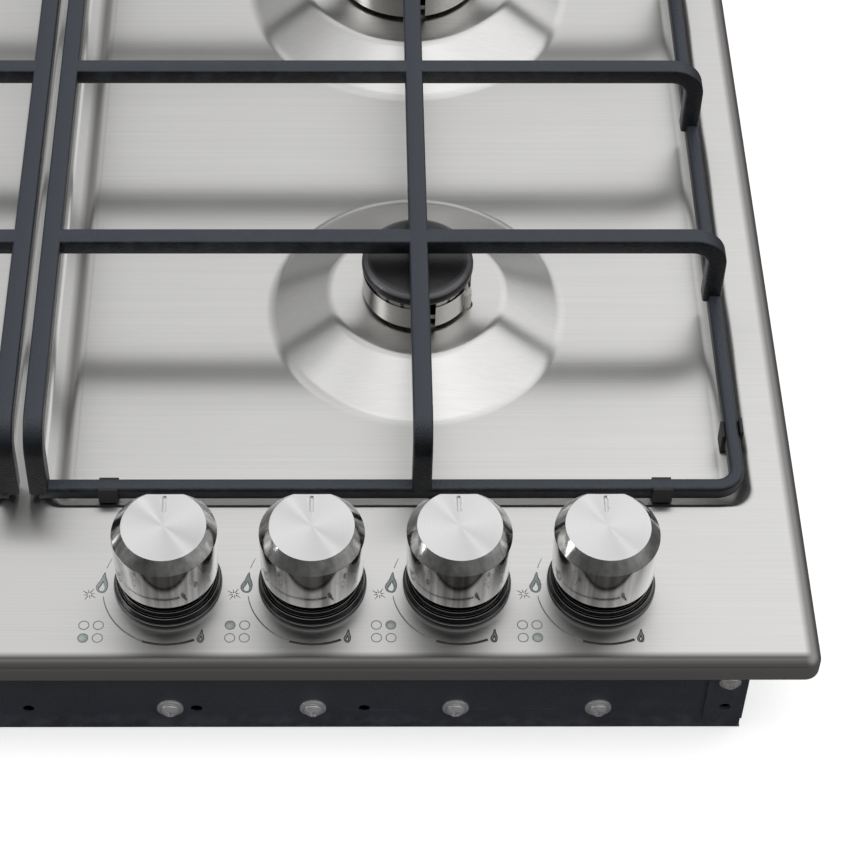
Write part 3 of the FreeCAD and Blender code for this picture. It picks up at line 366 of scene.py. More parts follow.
def brush_lines_group():
    """Long fine lines left by a brushing belt: a shade, a slow cloud and a normal."""
    group, inputs, outputs = new_group("Brush lines", [
        ("Place", "Vector", None), ("Stretch", "Vector", None), ("Depth", "Float", 0.1)],
        [("Shade", "Float"), ("Cloud", "Float"), ("Normal", "Vector")])
    place = inputs.outputs["Place"]
    drawn_out = feed(group, add(group, "VectorMath", operation="MULTIPLY"), i0=place,
                     i1=inputs.outputs["Stretch"]).outputs[0]
    fine = noise(group, drawn_out, 1.0, 2.5, 0.6)
    feed(group, outputs, Shade=fine, Cloud=noise(group, place, 14.0, 2.0),
         Normal=relief(group, fine, inputs.outputs["Depth"], 0.2 * MM))
    return group


def grain_group():
    """Fine even grain of a coating or a casting, with slow drifts of shade over it."""
    group, inputs, outputs = new_group("Grain", [
        ("Place", "Vector", None), ("Fineness", "Float", 900.0), ("Depth", "Float", 0.2)],
        [("Speckle", "Float"), ("Drift", "Float"), ("Normal", "Vector")])
    place = inputs.outputs["Place"]
    fine = noise(group, place, inputs.outputs["Fineness"], 3.0, 0.6)
    feed(group, outputs, Speckle=fine, Drift=noise(group, place, 22.0, 3.0),
         Normal=relief(group, fine, inputs.outputs["Depth"], 0.3 * MM))
    return group


def worn_edges_group():
    """Where edges are rubbed: the outward corners of a piece, broken up by noise."""
    group, inputs, outputs = new_group("Worn edges", [
        ("Place", "Vector", None), ("Amount", "Float", 0.5)], [("Mask", "Float")])
    corners = mask_between(group, add(group, "NewGeometry").outputs["Pointiness"], 0.52, 0.62)
    rubbed = mask_between(group, noise(group, inputs.outputs["Place"], 160.0, 4.0), 0.4, 0.65)
    feed(group, outputs, Mask=product(group, product(group, corners, rubbed), inputs.outputs["Amount"]))
    return group


BRUSH = brush_lines_group()
GRAIN = grain_group()
WEAR = worn_edges_group()


def use(tree, group, **values):
    node = tree.nodes.new("ShaderNodeGroup")
    node.node_tree = group
    return feed(tree, node, **values)


def start_material(name, **constants):
    """A new material with its shader and the place of each point on the piece."""
    material = bpy.data.materials.new(name)
    material.use_nodes = True
    tree = material.node_tree
    shader = tree.nodes["Principled BSDF"]
    feed(tree, shader, **constants)
    place = add(tree, "TexCoord").outputs["Object"]
    return material, tree, shader, place


def shade_between(tree, factor, first, last, low=0.3, high=0.7):
    """A colour that drifts from the first shade to the last as the factor goes from low to high."""
    ramp = add(tree, "ValToRGB")
    for stop, position, shade in zip(ramp.color_ramp.elements, (low, high), (first, last)):
        stop.position = position
        stop.color = (*shade, 1)
    tree.links.new(factor, ramp.inputs["Fac"])
    return ramp.outputs["Color"]


def swing(tree, factor, low, high):
    """A value that swings between low and high with a noise."""
    return feed(tree, add(tree, "MapRange"), Value=factor, From_Min=0.25, From_Max=0.75,
                To_Min=low, To_Max=high).outputs[0]


def blend_colour(tree, mask, base, other):
    """The base colour where the mask is 0 and the other one where it is 1."""
    mix = add(tree, "Mix", data_type="RGBA")
    tree.links.new(mask, mix.inputs["Factor"])
    for number, colour in ((6, base), (7, other)):
        if isinstance(colour, bpy.types.NodeSocket):
            tree.links.new(colour, mix.inputs[number])
        else:
            mix.inputs[number].default_value = (*colour, 1)
    return mix.outputs[2]


# ---------------- materials

# painted shade on the turned-down lip, standing in for a darker reflection there: tones low on it, near its
# top, and where one goes over into the other
LIP_END_PAINTED_SHADES = ((0.42, 0.405, 0.39), (0.11, 0.106, 0.103), 0.62, 0.95)
LIP_SIDE_PAINTED_SHADES = ((0.42, 0.41, 0.40), (0.24, 0.235, 0.23), 0.5, 0.95)
LIP_START = Vector((PLATE_HIGH.x - LIP_ROUND, PLATE_HIGH.y - LIP_ROUND))
LIP_SHADE_TOP = 0.3 * MM
LIP_SHADE_BEFORE, LIP_SHADE_AFTER = 2.2 * MM, 0.3 * MM
# painted shade: a darker strip along the foot of the walls between the two wells, standing in for a dark
# reflection; drop under the panel, distance from the lip
WALL_PAINTED_SHADE = (0.24, 0.235, 0.23)
WALL_SHADE_DROP = (1 * MM, 3 * MM)
WALL_SHADE_END = (4 * MM, 12 * MM)


def brushed_steel():
    """Pressed plate: stainless sheet brushed from left to right, with painted shade on the turned-down lip
    and a painted shade strip on the walls between the wells.
    """
    material, tree, shader, place = start_material("brushed_steel", Metallic=1.0, Anisotropic=0.75)
    lines = use(tree, BRUSH, Place=place, Stretch=(8.0, 1600.0, 600.0), Depth=0.05)
    colour = shade_between(tree, lines.outputs["Shade"], (0.645, 0.64, 0.63), (0.695, 0.69, 0.68))
    rough = swing(tree, lines.outputs["Cloud"], 0.285, 0.325)
    spot = parts_of(tree, place)
    sideways, endways = size_of(tree, spot["X"]), size_of(tree, spot["Y"])
    rise = mask_between(tree, spot["Z"], PANEL - LIP_ROUND, PANEL - LIP_SHADE_TOP)
    # painted shade: the lip along the ends and the sides is blended to darker tones, darkest near its top
    for out, start, tones in ((endways, LIP_START.y, LIP_END_PAINTED_SHADES), (sideways, LIP_START.x, LIP_SIDE_PAINTED_SHADES)):
        edge = mask_between(tree, out, start - LIP_SHADE_BEFORE, start + LIP_SHADE_AFTER)
        colour = blend_colour(tree, edge, colour, shade_between(tree, rise, *tones))
    # painted shade: a darker strip on the well walls, standing in for a dark reflection band
    wall_shade = product(tree, mask_between(tree, spot["Z"], PANEL - WALL_SHADE_DROP[0], PANEL - WALL_SHADE_DROP[1]),
                    mask_between(tree, endways, LIP_START.y - WALL_SHADE_END[0], LIP_START.y - WALL_SHADE_END[1]))
    foot = WELL_X[0] + WELL_SLOPE
    # it fades in up the wall and fades out again past the foot
    for start, end in ((foot - 5.5 * MM, foot - 2.5 * MM), (foot + 2.5 * MM, foot - 0.5 * MM)):
        wall_shade = product(tree, wall_shade, mask_between(tree, sideways, start, end))
    colour = blend_colour(tree, wall_shade, colour, WALL_PAINTED_SHADE)
    feed(tree, shader, Base_Color=colour, Roughness=rough, Normal=lines.outputs["Normal"],
         Tangent=add(tree, "Tangent", direction_type="UV_MAP").outputs["Tangent"])
    return material


def knob_steel():
    """Turned and brushed knob body: bright bevel and a painted shade on the darker skirt, and a painted pale
    reflection where it is seen at a slant.
    """
    material, tree, shader, place = start_material("knob_steel", Metallic=1.0, Anisotropic=0.5)
    lines = use(tree, BRUSH, Place=place, Stretch=(900.0, 900.0, 12.0), Depth=0.08)
    bands = use(tree, BRUSH, Place=place, Stretch=(230.0, 230.0, 5.0), Depth=0.0).outputs["Shade"]
    # lit and shaded copies of the steel: the upward bevel is painted lighter and the sideways skirt painted
    # darker, standing in for the dark reflection below the bevel
    bevel = shade_between(tree, bands, (0.40, 0.395, 0.39), (0.66, 0.655, 0.645), 0.35, 0.65)
    skirt = shade_between(tree, bands, (0.15, 0.148, 0.145), (0.44, 0.435, 0.43), 0.35, 0.65)
    colour = blend_colour(tree, mask_between(tree, upward(tree), 0.45, 0.25), bevel, skirt)
    # painted reflection: faces seen at a slant are painted pale
    painted_slant_sheen = mask_between(tree, add(tree, "LayerWeight").outputs["Facing"], 0.60, 0.84)
    feed(tree, shader, Base_Color=blend_colour(tree, painted_slant_sheen, colour, (0.86, 0.86, 0.85)),
         Roughness=swing(tree, lines.outputs["Shade"], 0.08, 0.15), Normal=lines.outputs["Normal"])
    return material


def spun_face():
    """Knob face: rings left by the lathe, which catch the light in a fan."""
    material, tree, shader = start_material("spun_face", Metallic=1.0, Anisotropic=0.92)[:3]
    spin = add(tree, "UVMap", uv_map="spin").outputs["UV"]
    rings = use(tree, BRUSH, Place=spin, Stretch=(0.0, 9000.0, 0.0), Depth=0.03)
    feed(tree, shader, Normal=rings.outputs["Normal"],
         Base_Color=shade_between(tree, rings.outputs["Shade"], (0.74, 0.74, 0.74), (0.80, 0.80, 0.80)),
         Roughness=swing(tree, rings.outputs["Shade"], 0.36, 0.42),
         Tangent=add(tree, "Tangent", direction_type="UV_MAP").outputs["Tangent"])
    return material


def grained(name, dark, light, rough, fineness=900.0, depth=0.2, wear=0.0, worn=(0.5, 0.5, 0.5), flecks=0.25,
            above=None, painted_rim_highlight=None, **constants):
    """A coated, moulded or cast surface: grain, drifting shade, rubbed edges, painted light on upper faces
    and a painted highlight on sloping rims.
    """
    material, tree, shader, place = start_material(name, **constants)
    grain = use(tree, GRAIN, Place=place, Fineness=fineness, Depth=depth)
    colour = shade_between(tree, grain.outputs["Drift"], dark, light)
    # painted light: faces that look up get the lighter colour given as above
    if above:
        colour = blend_colour(tree, mask_between(tree, upward(tree), 0.45, 0.95), colour, above)
    # painted highlight: a lighter band where the surface slopes at a shoulder
    if painted_rim_highlight:
        up = upward(tree)
        painted_highlight_band = product(tree, mask_between(tree, up, 0.995, 0.96), mask_between(tree, up, 0.5, 0.75))
        colour = blend_colour(tree, painted_highlight_band, colour, painted_rim_highlight)
    colour = blend_colour(tree, swing(tree, grain.outputs["Speckle"], 0.0, flecks), colour, worn)
    if wear:
        edges = use(tree, WEAR, Place=place, Amount=wear)
        colour = blend_colour(tree, edges.outputs["Mask"], colour, worn)
    feed(tree, shader, Base_Color=colour, Roughness=swing(tree, grain.outputs["Speckle"], *rough),
         Normal=grain.outputs["Normal"])
    return material


STEEL = brushed_steel()
KNOB_STEEL = knob_steel()
SPUN = spun_face()
# painted light: the bars' upper faces are painted lighter than their sides and fronts
ENAMEL = grained("support_enamel", (0.003, 0.004, 0.006), (0.006, 0.007, 0.010), (0.28, 0.46), 1100.0, 0.9,
                 wear=0.5, worn=(0.05, 0.057, 0.07), flecks=0.12, above=(0.034, 0.041, 0.055),
                 Specular_IOR_Level=0.4)
# painted highlight: a lighter ring on the cap's sloping shoulder
CAP_ENAMEL = grained("cap_enamel", (0.006, 0.006, 0.007), (0.010, 0.010, 0.012), (0.29, 0.36), 1200.0, 0.4,
                     worn=(0.05, 0.05, 0.055), flecks=0.1, painted_rim_highlight=(0.11, 0.112, 0.12), Specular_IOR_Level=0.6)
# painted highlight: light lines on the bezel's sloping steps
BEZEL_PLASTIC = grained("bezel_plastic", (0.002, 0.002, 0.002), (0.004, 0.004, 0.004), (0.14, 0.22), 1200.0,
                        0.05, worn=(0.02, 0.02, 0.02), flecks=0.05, painted_rim_highlight=(0.26, 0.26, 0.26),
                        Specular_IOR_Level=0.22)
CROWN_METAL = grained("crown_aluminium", (0.45, 0.445, 0.43), (0.62, 0.61, 0.59), (0.10, 0.2), 500.0, 0.06,
                      worn=(0.3, 0.28, 0.25), Metallic=1.0)
CAST_METAL = grained("cast_aluminium", (0.42, 0.42, 0.41), (0.55, 0.55, 0.54), (0.4, 0.55), 700.0, 0.4,
                     worn=(0.3, 0.3, 0.3), Metallic=1.0)
CASE_COAT = grained("case_coating", (0.030, 0.037, 0.052), (0.050, 0.058, 0.076), (0.38, 0.6), 1000.0, 0.6,
                    wear=0.3, worn=(0.22, 0.24, 0.29), flecks=0.3)
# painted highlight: the screws' upward faces are painted white
ZINC = grained("zinc_steel", (0.72, 0.725, 0.73), (0.84, 0.845, 0.85), (0.08, 0.14), 400.0, 0.03,
               worn=(0.5, 0.5, 0.5), flecks=0.1, above=(1.0, 1.0, 1.0), Metallic=0.5)
BRASS = grained("tap_brass", (0.55, 0.38, 0.16), (0.66, 0.47, 0.22), (0.25, 0.4), 700.0, 0.15,
                worn=(0.3, 0.2, 0.1), Metallic=1.0)
RUBBER = grained("foot_rubber", (0.012, 0.012, 0.012), (0.020, 0.020, 0.020), (0.55, 0.7), 1000.0, 0.3,
                 worn=(0.04, 0.04, 0.04))
FOAM = grained("seal_foam", (0.05, 0.05, 0.05), (0.08, 0.08, 0.08), (0.85, 0.95), 1600.0, 0.6,
               worn=(0.12, 0.12, 0.12))
CERAMIC = grained("electrode_ceramic", (0.66, 0.64, 0.58), (0.76, 0.74, 0.68), (0.2, 0.35), 900.0, 0.1,
                  worn=(0.5, 0.45, 0.36))
STEEL_PLAIN = grained("turned_steel", (0.45, 0.45, 0.44), (0.6, 0.6, 0.58), (0.2, 0.35), 900.0, 0.1,
                      worn=(0.3, 0.3, 0.3), Metallic=1.0)
PIPE_METAL = grained("pipe_aluminium", (0.5, 0.5, 0.5), (0.62, 0.62, 0.62), (0.3, 0.45), 600.0, 0.1,
                     worn=(0.4, 0.4, 0.4), Metallic=1.0)
WHITE_PLASTIC = grained("generator_case", (0.55, 0.54, 0.50), (0.62, 0.61, 0.57), (0.35, 0.5), 900.0, 0.15,
                        worn=(0.4, 0.4, 0.36))
SLEEVE = grained("lead_sleeve", (0.45, 0.08, 0.05), (0.55, 0.1, 0.06), (0.4, 0.55), 900.0, 0.15,
                 worn=(0.3, 0.06, 0.04))
INK = grained("panel_ink", (0.012, 0.012, 0.012), (0.024, 0.024, 0.024), (0.5, 0.7), 1500.0, 0.1,
              worn=(0.08, 0.08, 0.08))
GREY_INK = grained("panel_ink_grey", (0.16, 0.16, 0.16), (0.22, 0.22, 0.22), (0.5, 0.7), 1500.0, 0.1,
                   worn=(0.35, 0.35, 0.35))
PALE_INK = grained("panel_ink_pale", (0.38, 0.45, 0.44), (0.46, 0.53, 0.52), (0.5, 0.7), 1500.0, 0.1,
                   worn=(0.6, 0.65, 0.65))

# the finish for each material slot of the frame
CARRIED = {
    "case_coating": CASE_COAT, "foam": FOAM, "zinc_steel": ZINC, "tap_brass": BRASS,
    "bezel_plastic": BEZEL_PLASTIC, "knob_metal": KNOB_STEEL, "crown_aluminium": CROWN_METAL,
    "cap_enamel": CAP_ENAMEL, "cast_aluminium": CAST_METAL, "pipe_aluminium": PIPE_METAL,
    "support_enamel": ENAMEL, "foot_rubber": RUBBER, "spring_steel": STEEL_PLAIN,
    "turned_steel": STEEL_PLAIN, "electrode_ceramic": CERAMIC, "generator_case": WHITE_PLASTIC,
    "lead_sleeve": SLEEVE, "brushed_plate": STEEL,
}
SLOT_OF = {entry["node"]: entry["material_slot"] for entry in frame["record"]["subparts"]}


def dress_frame():
    """Give every carried-over CAD node the finish of its material slot."""
    for node, slot in SLOT_OF.items():
        NODES[node].data.materials.clear()
        NODES[node].data.materials.append(CARRIED[slot])


# ---------------- top plate

def lay_uv_across(piece):
    """A flat map whose first direction is the brushing direction."""
    layer = piece.data.uv_layers.new(name="brush")
    for loop in piece.data.loops:
        spot = piece.data.vertices[loop.vertex_index].co
        layer.data[loop.index].uv = (spot.x, spot.y - spot.z)


def press_well(mesh, side):
    """One sunken well; returns its rim ring and its foot ring."""
    near, far = WELL_X if side > 0 else (-WELL_X[1], -WELL_X[0])
    lead = 4 * MM
    profile = arc_points([(-lead, 0), (0, 0), (WELL_SLOPE, -WELL_DROP), (WELL_SLOPE + lead, -WELL_DROP)],
                         [0, WELL_RIM_ROUND, WELL_FOOT_ROUND, 0], 8)
    rings = []
    for inset, drop in profile[1:-1]:
        outline = rounded_rectangle(near + inset, WELL_Y[0] + inset, far - inset, WELL_Y[1] - inset,
                                    WELL_CORNER)
        rings.append(ring_of(mesh, outline, PANEL + drop))
    return join_all(mesh, rings)


def press_plateau(mesh, name):
    """The raised cone under one burner; returns its foot ring and its upper ring."""
    top, foot = BURNERS[name]
    profile = arc_points([(foot + 4 * MM, FLOOR), (foot, FLOOR), (top, PLATEAU), (top - 5 * MM, PLATEAU)],
                         [0, PLATEAU_FOOT_ROUND, PLATEAU_TOP_ROUND, 0], 8)
    spot = BURNER_SPOTS[name]
    return join_all(mesh, [ring_of(mesh, circle_points(spot.x, spot.y, radius, 128), z)
                           for radius, z in profile[1:-1]])


def pierce_plateau(mesh, name, upper):
    """The level top of a plateau, open for the burner cup and its two probes."""
    spot = BURNER_SPOTS[name]
    cup = circle_points(spot.x, spot.y, CROWN_RADIUS[name] - CUP_HOLE_INSET, 48)
    rings = [upper, ring_of(mesh, cup, PLATEAU)]
    out = CROWN_RADIUS[name] - PROBE_INSET
    for angle in PROBE_ANGLES:
        x = spot.x + out * math.cos(math.radians(angle))
        y = spot.y + out * math.sin(math.radians(angle))
        rings.append(ring_of(mesh, circle_points(x, y, PROBE_HOLE, 16), PLATEAU))
    fill_between(mesh, rings)


def round_lip(mesh):
    """The rounded and turned-down edge of the sheet; returns the ring round the flat."""
    low, high = PLATE_LOW, PLATE_HIGH
    profile = arc_points([(LIP_ROUND + 2 * MM, 0), (0, 0), (0, PLATE_LOW.z - PANEL)], LIP_ROUND, 10)
    rings = []
    for inset, drop in profile[1:]:
        outline = rounded_rectangle(low.x + inset, low.y + inset, high.x - inset, high.y - inset,
                                    PLATE_CORNER - inset, 12)
        rings.append(ring_of(mesh, outline, PANEL + drop))
    return join_all(mesh, rings)[0]


def build_plate():
    """One pressed sheet: lip, two wells, four plateaus, holes for burners, probes and spindles."""
    mesh = bmesh.new()
    panel_rings = [round_lip(mesh)]
    for side in (-1, 1):
        rim, foot = press_well(mesh, side)
        panel_rings.append(rim)
        floor_rings = [foot]
        for name, spot in BURNER_SPOTS.items():
            if spot.x * side > 0:
                plateau_foot, plateau_top = press_plateau(mesh, name)
                floor_rings.append(plateau_foot)
                pierce_plateau(mesh, name, plateau_top)
        fill_between(mesh, floor_rings)
    for spot in KNOB_SPOTS:
        panel_rings.append(ring_of(mesh, circle_points(spot.x, spot.y, SPINDLE_HOLE, 32), PANEL))
    fill_between(mesh, panel_rings)
    plate = as_piece("pressed_plate", mesh, STEEL, smooth=60)
    lay_uv_across(plate)
    modify(plate, "SOLIDIFY", thickness=SHEET, offset=-1)
    settle(plate)
    plate.data.set_sharp_from_angle(angle=math.radians(50))
    level_flats(plate)
    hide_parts("top_plate")


# ---------------- pan supports

BAR_WIDE, BAR_TALL = 7.3 * MM, 7.4 * MM
BAR_EDGE, BAR_BEND = 1.0 * MM, 10.4 * MM
FRAME_WIDE, FRAME_TALL = 5.5 * MM, 6.7 * MM
FRAME_EDGE, FRAME_CORNER = 1.6 * MM, 11 * MM
WELD_LAP = 1 * MM


def bend_bar(mesh, points, side, lift):
    """One square bar along 2-D points, with bent corners, lifted into space by lift()."""
    path = [lift(p) for p in arc_points(points, BAR_BEND, 12)]
    along_path(mesh, path, side, BAR_WIDE, BAR_TALL, BAR_EDGE)


def build_support(side, body):
    """A low frame bar with two long bars and three cross bars, bent down to it at their ends."""
    low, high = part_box("pan_support_right")
    bar_z, frame_z = high.z - BAR_TALL / 2, low.z + FRAME_TALL / 2
    inner = low.x + BAR_WIDE / 2
    centre = BURNER_SPOTS["front_right"].x
    mesh = bmesh.new()
    half = FRAME_WIDE / 2
    front, rear, outer = low.y + half, high.y - half, high.x - half
    outline = arc_points([(inner, front), (outer, front), (outer, rear), (inner, rear)],
                         FRAME_CORNER - half, 10)
    ring = [Vector((p.x, p.y, frame_z)) for p in outline]
    along_path(mesh, ring, Vector((0, 0, 1)), FRAME_TALL, FRAME_WIDE, FRAME_EDGE)
    half = BAR_TALL / 2
    front, rear, outer = low.y + half, high.y - half, high.x - half
    for x in (inner, centre):
        bend_bar(mesh, [(front, frame_z), (front, bar_z), (rear, bar_z), (rear, frame_z)],
                 Vector((1, 0, 0)), lambda p: Vector((x, p.x, p.y)))
    beside = BAR_WIDE / 2 - WELD_LAP
    near, far = BURNER_SPOTS["front_right"].y, BURNER_SPOTS["rear_right"].y
    for y in (near, (near + far) / 2, far):
        for points in ([(inner + beside, bar_z), (centre - beside, bar_z)],
                       [(centre + beside, bar_z), (outer, bar_z), (outer, frame_z)]):
            bend_bar(mesh, points, Vector((0, 1, 0)), lambda p: Vector((p.x, y, p.y)))
    bmesh.ops.transform(mesh, matrix=Matrix.Diagonal((side, 1, 1, 1)), verts=mesh.verts)
    name = "right" if side > 0 else "left"
    piece = as_piece("support_bars_" + name, mesh, ENAMEL, body, smooth=50)
    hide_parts("pan_support_" + name)


# ---------------- knobs and bezels

KNOB_RADIUS, KNOB_BEVEL, KNOB_WALL = 18.9 * MM, 4.5 * MM, 2 * MM
KNOB_TAPER = 0.4 * MM
KNOB_FACE = 15.3 * MM
KNOB_FLAT = 13.7 * MM
HOLLOW_GAP = 0.9 * MM
FACE_SEAT, FACE_THICK, FACE_DISH = 2.4 * MM, 2.5 * MM, 0.25 * MM
# the face's edge from the inside out: inset from the edge and depth under the knob's top
FACE_EDGE = [(2 * MM, 0.1 * MM), (0.5 * MM, 0.02 * MM), (0.1 * MM, 0.03 * MM), (0, 0.12 * MM),
             (0.02 * MM, FACE_THICK)]
POINTER_FROM, POINTER_TO = 6.9 * MM, 12.1 * MM
# the pointer groove from its floor up: half width and height over the knob's top
POINTER_STEPS = [(0.45 * MM, -0.8 * MM), (0.6 * MM, -0.45 * MM), (1.1 * MM, 0.05 * MM)]
CLEAR = 10 * MM


def cut_flat(piece, spot, low, high):
    """The flat at the rear of the knob, where the pointer is."""
    cutter = bmesh.new()
    block(cutter, (spot.x - 3 * CLEAR, spot.y + KNOB_FLAT, low.z - CLEAR),
          (spot.x + 3 * CLEAR, spot.y + 4 * CLEAR, high.z + CLEAR))
    carve(piece, cutter)


def turn_skirt(number, spot, low, high):
    """The knob's body: bevelled above, hollow below, with a seat for the face."""
    bottom, top = low.z, high.z
    profile = arc_points([(0, bottom), (KNOB_RADIUS - KNOB_TAPER, bottom), (KNOB_RADIUS, top - KNOB_BEVEL),
                          (KNOB_FACE, top), (KNOB_FACE - 0.02 * MM, top - FACE_SEAT), (0, top - FACE_SEAT)],
                         [0, 0.4 * MM, 0.35 * MM, 0, 0, 0], 4)
    skirt = turned("knob_skirt_%d" % number, profile, spot, KNOB_STEEL, "knob_%d" % number, 128, 25)
    cut_flat(skirt, spot, low, high)
    inside = circle_points(spot.x, spot.y, KNOB_RADIUS - KNOB_WALL - HOLLOW_GAP, 96)
    outline = [p for p in inside if p.y < spot.y + KNOB_FLAT - KNOB_WALL]
    outline.sort(key=lambda p: math.atan2(spot.x - p.x, p.y - spot.y))
    hollow = bmesh.new()
    column(hollow, [ring_of(hollow, outline, z) for z in (bottom - CLEAR, top - KNOB_BEVEL - KNOB_WALL)])
    carve(skirt, hollow)
    return skirt


def lay_uv_round(disc, spot):
    """A map whose first direction runs round the knob's axis, so that the lathe rings can shine in a fan."""
    layer = disc.data.uv_layers.new(name="spin")
    for polygon in disc.data.polygons:
        angle = math.atan2(polygon.center.x - spot.x, polygon.center.y - spot.y)
        along = Vector((math.cos(angle), -math.sin(angle), 0))
        for index in polygon.loop_indices:
            out = disc.data.vertices[disc.data.loops[index].vertex_index].co - spot
            layer.data[index].uv = (out.dot(along), out.length)


def spin_face(number, spot, low, high):
    """The slightly dished face, let into the skirt, with its pointer groove."""
    top = high.z
    edge = [(KNOB_FACE - inset, top - down) for inset, down in FACE_EDGE]
    profile = [(0, top - FACE_DISH)] + edge + [(0, top - FACE_THICK)]
    disc = turned("knob_face_%d" % number, profile, spot, SPUN, "knob_%d" % number, 128, 25)
    cut_flat(disc, spot, low, high)
    groove = bmesh.new()
    rings = []
    for half, rise in POINTER_STEPS:
        outline = rounded_rectangle(spot.x - half, spot.y + POINTER_FROM - half,
                                    spot.x + half, spot.y + POINTER_TO + half, half * 0.6, 3)
        rings.append(ring_of(groove, outline, top + rise))
    column(groove, rings)
    carve(disc, groove)
    lay_uv_round(disc, spot)
    return disc


def build_knob(number, spot):
    low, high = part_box("knob_%d" % number)
    skirt = turn_skirt(number, spot, low, high)
    disc = spin_face(number, spot, low, high)
    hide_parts("knob_%d" % number)


BEZEL_RIM, BEZEL_BORE = 19.7 * MM, 5 * MM
BEZEL_FLOOR = 1.5 * MM
BEZEL_LIFT = 0.02 * MM
# the steps of a bezel from its wall to its rim, in mm: inset from the rim, height and rounding
BEZEL_STEPS = [(2.2, 1.5, 0), (3.4, 1.5, 0.2), (3.4, 6.3, 0.3), (2.2, 6.3, 0.3), (2.0, 4.2, 0.1),
               (0.9, 4.2, 0.3), (0.6, 1.4, 0.1), (0, 1.4, 0.3), (0, 0, 0)]


def build_bezels():
    mesh = bmesh.new()
    base = PANEL + BEZEL_LIFT
    steps = arc_points([(BEZEL_RIM - inset * MM, base + tall * MM) for inset, tall, _ in BEZEL_STEPS],
                       [rounding * MM for _, _, rounding in BEZEL_STEPS], 4)
    profile = [(BEZEL_BORE, base), (BEZEL_BORE, base + BEZEL_FLOOR), *steps[1:], (BEZEL_BORE, base)]
    for spot in KNOB_SPOTS:
        turn_profile(mesh, profile, spot, 96)
    piece = as_piece("knob_bezels_stepped", mesh, BEZEL_PLASTIC, smooth=30)
    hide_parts("knob_bezels")


# ---------------- burners

CAP_TALL = 4.6 * MM
# the rib under a cap, which keeps it centred in its crown: insets from the crown's edge and its depth
CAP_RIB = (5.5 * MM, 4 * MM)
CAP_RIB_DEEP = 3 * MM
CAP_SLOPE = (4 * MM, 0.5 * MM)


def build_burner(name):
    """The lid of one burner: a flat disc with a soft shoulder and a rib underneath."""
    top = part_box("burner_cap_" + name)[1].z
    under = top - CAP_TALL
    radius = CROWN_RADIUS[name]
    rim = radius + CAP_OVERHANG
    rib_in, rib_out = radius - CAP_RIB[0], radius - CAP_RIB[1]
    profile = arc_points([(0, under), (rib_in, under), (rib_in, under - CAP_RIB_DEEP),
                          (rib_out, under - CAP_RIB_DEEP), (rib_out, under), (rim, under),
                          (rim, top - CAP_SLOPE[1]), (rim - CAP_SLOPE[0], top), (0, top)],
                         [0, 0, 0, 0, 0, 0.8 * MM, 2.9 * MM, 6 * MM, 0], 8)
    cap = turned("burner_lid_" + name, profile, BURNER_SPOTS[name], CAP_ENAMEL, "cap_" + name, 96, 40)
    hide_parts("burner_cap_" + name)


# ---------------- printed legends

PRINT_HIGH = PANEL + 0.03 * MM
FILL_HIGH = PANEL + 0.026 * MM
INK_THICK = 0.02 * MM
LINE_WIDE = 0.34 * MM
# the dial line round each knob: radii, angles in degrees and widths at its two ends, lengths in mm
DIAL_BOLD = ((26.5, 26.3), (-67, -108), (1.0, 0.9))
DIAL_FINE = ((26.3, 24.0), (-108, -166), (0.8, 0.3))
DIAL_END = ((23.6, 23.6), (164, 153), (0.25, 0.2))
# the two flames, in mm from the knob's axis: place, outer size, inner size, inner drop and line width
SMALL_FLAME = ((12.6, -22.8), (2.9, 5.4), (1.2, 2.1), 1.0, 0.36)
LARGE_FLAME = ((-24.0, 0.2), (5.2, 8.8), (2.9, 4.4), 1.7, 0.26)
SPARK_SPOT = (-28.4 * MM, -4.9 * MM)
SPARK_RADIUS = 2.8 * MM
MAP_SPOT = (-26.85 * MM, -20.9 * MM)
MAP_PITCH = (5.2 * MM, 5.4 * MM)
MAP_RADIUS = 1.8 * MM
# which of the four burners each knob feeds: column and row on the little map
MAP_FILLED = [(-1, -1), (-1, 1), (1, 1), (1, -1)]
FLAME = [(0.02, -0.50), (0.27, -0.43), (0.40, -0.20), (0.36, 0.04), (0.24, 0.24), (0.16, 0.50),
         (0.02, 0.33), (-0.10, 0.14), (-0.28, -0.04), (-0.40, -0.22), (-0.28, -0.42)]


def smooth_loop(points, steps=5):
    """A closed curve through a few points."""
    count = len(points)
    result = []
    for i in range(count):
        a, b, c, d = (Vector(points[(i + k) % count]) for k in (-1, 0, 1, 2))
        for step in range(steps):
            t = step / steps
            result.append(0.5 * (2 * b + (c - a) * t + (2 * a - 5 * b + 4 * c - d) * t * t
                                 + (3 * b - a - 3 * c + d) * t ** 3))
    return result


def print_ribbon(mesh, line, widths, closed=False):
    """A printed line of varying width along a flat curve."""
    count = len(line)
    pairs = []
    for i, spot in enumerate(line):
        before = line[i - 1] if (i or closed) else spot
        after = line[(i + 1) % count] if (i < count - 1 or closed) else spot
        ahead = (after - before).normalized()
        out = Vector((-ahead.y, ahead.x)) * widths[i] / 2
        pairs.append([mesh.verts.new((p.x, p.y, PRINT_HIGH)) for p in (spot - out, spot + out)])
    for i in range(count if closed else count - 1):
        a, b = pairs[i], pairs[(i + 1) % count]
        mesh.faces.new((a[0], b[0], b[1], a[1]))


def print_arc(mesh, spot, radii, angles, widths, steps=40):
    """A line round the knob whose radius and width change evenly from end to end."""
    line, wide = [], []
    for i in range(steps + 1):
        t = i / steps
        angle = math.radians(angles[0] + (angles[1] - angles[0]) * t)
        radius = (radii[0] + (radii[1] - radii[0]) * t) * MM
        line.append(spot + Vector((math.cos(angle), math.sin(angle))) * radius)
        wide.append((widths[0] + (widths[1] - widths[0]) * t) * MM)
    print_ribbon(mesh, line, wide)


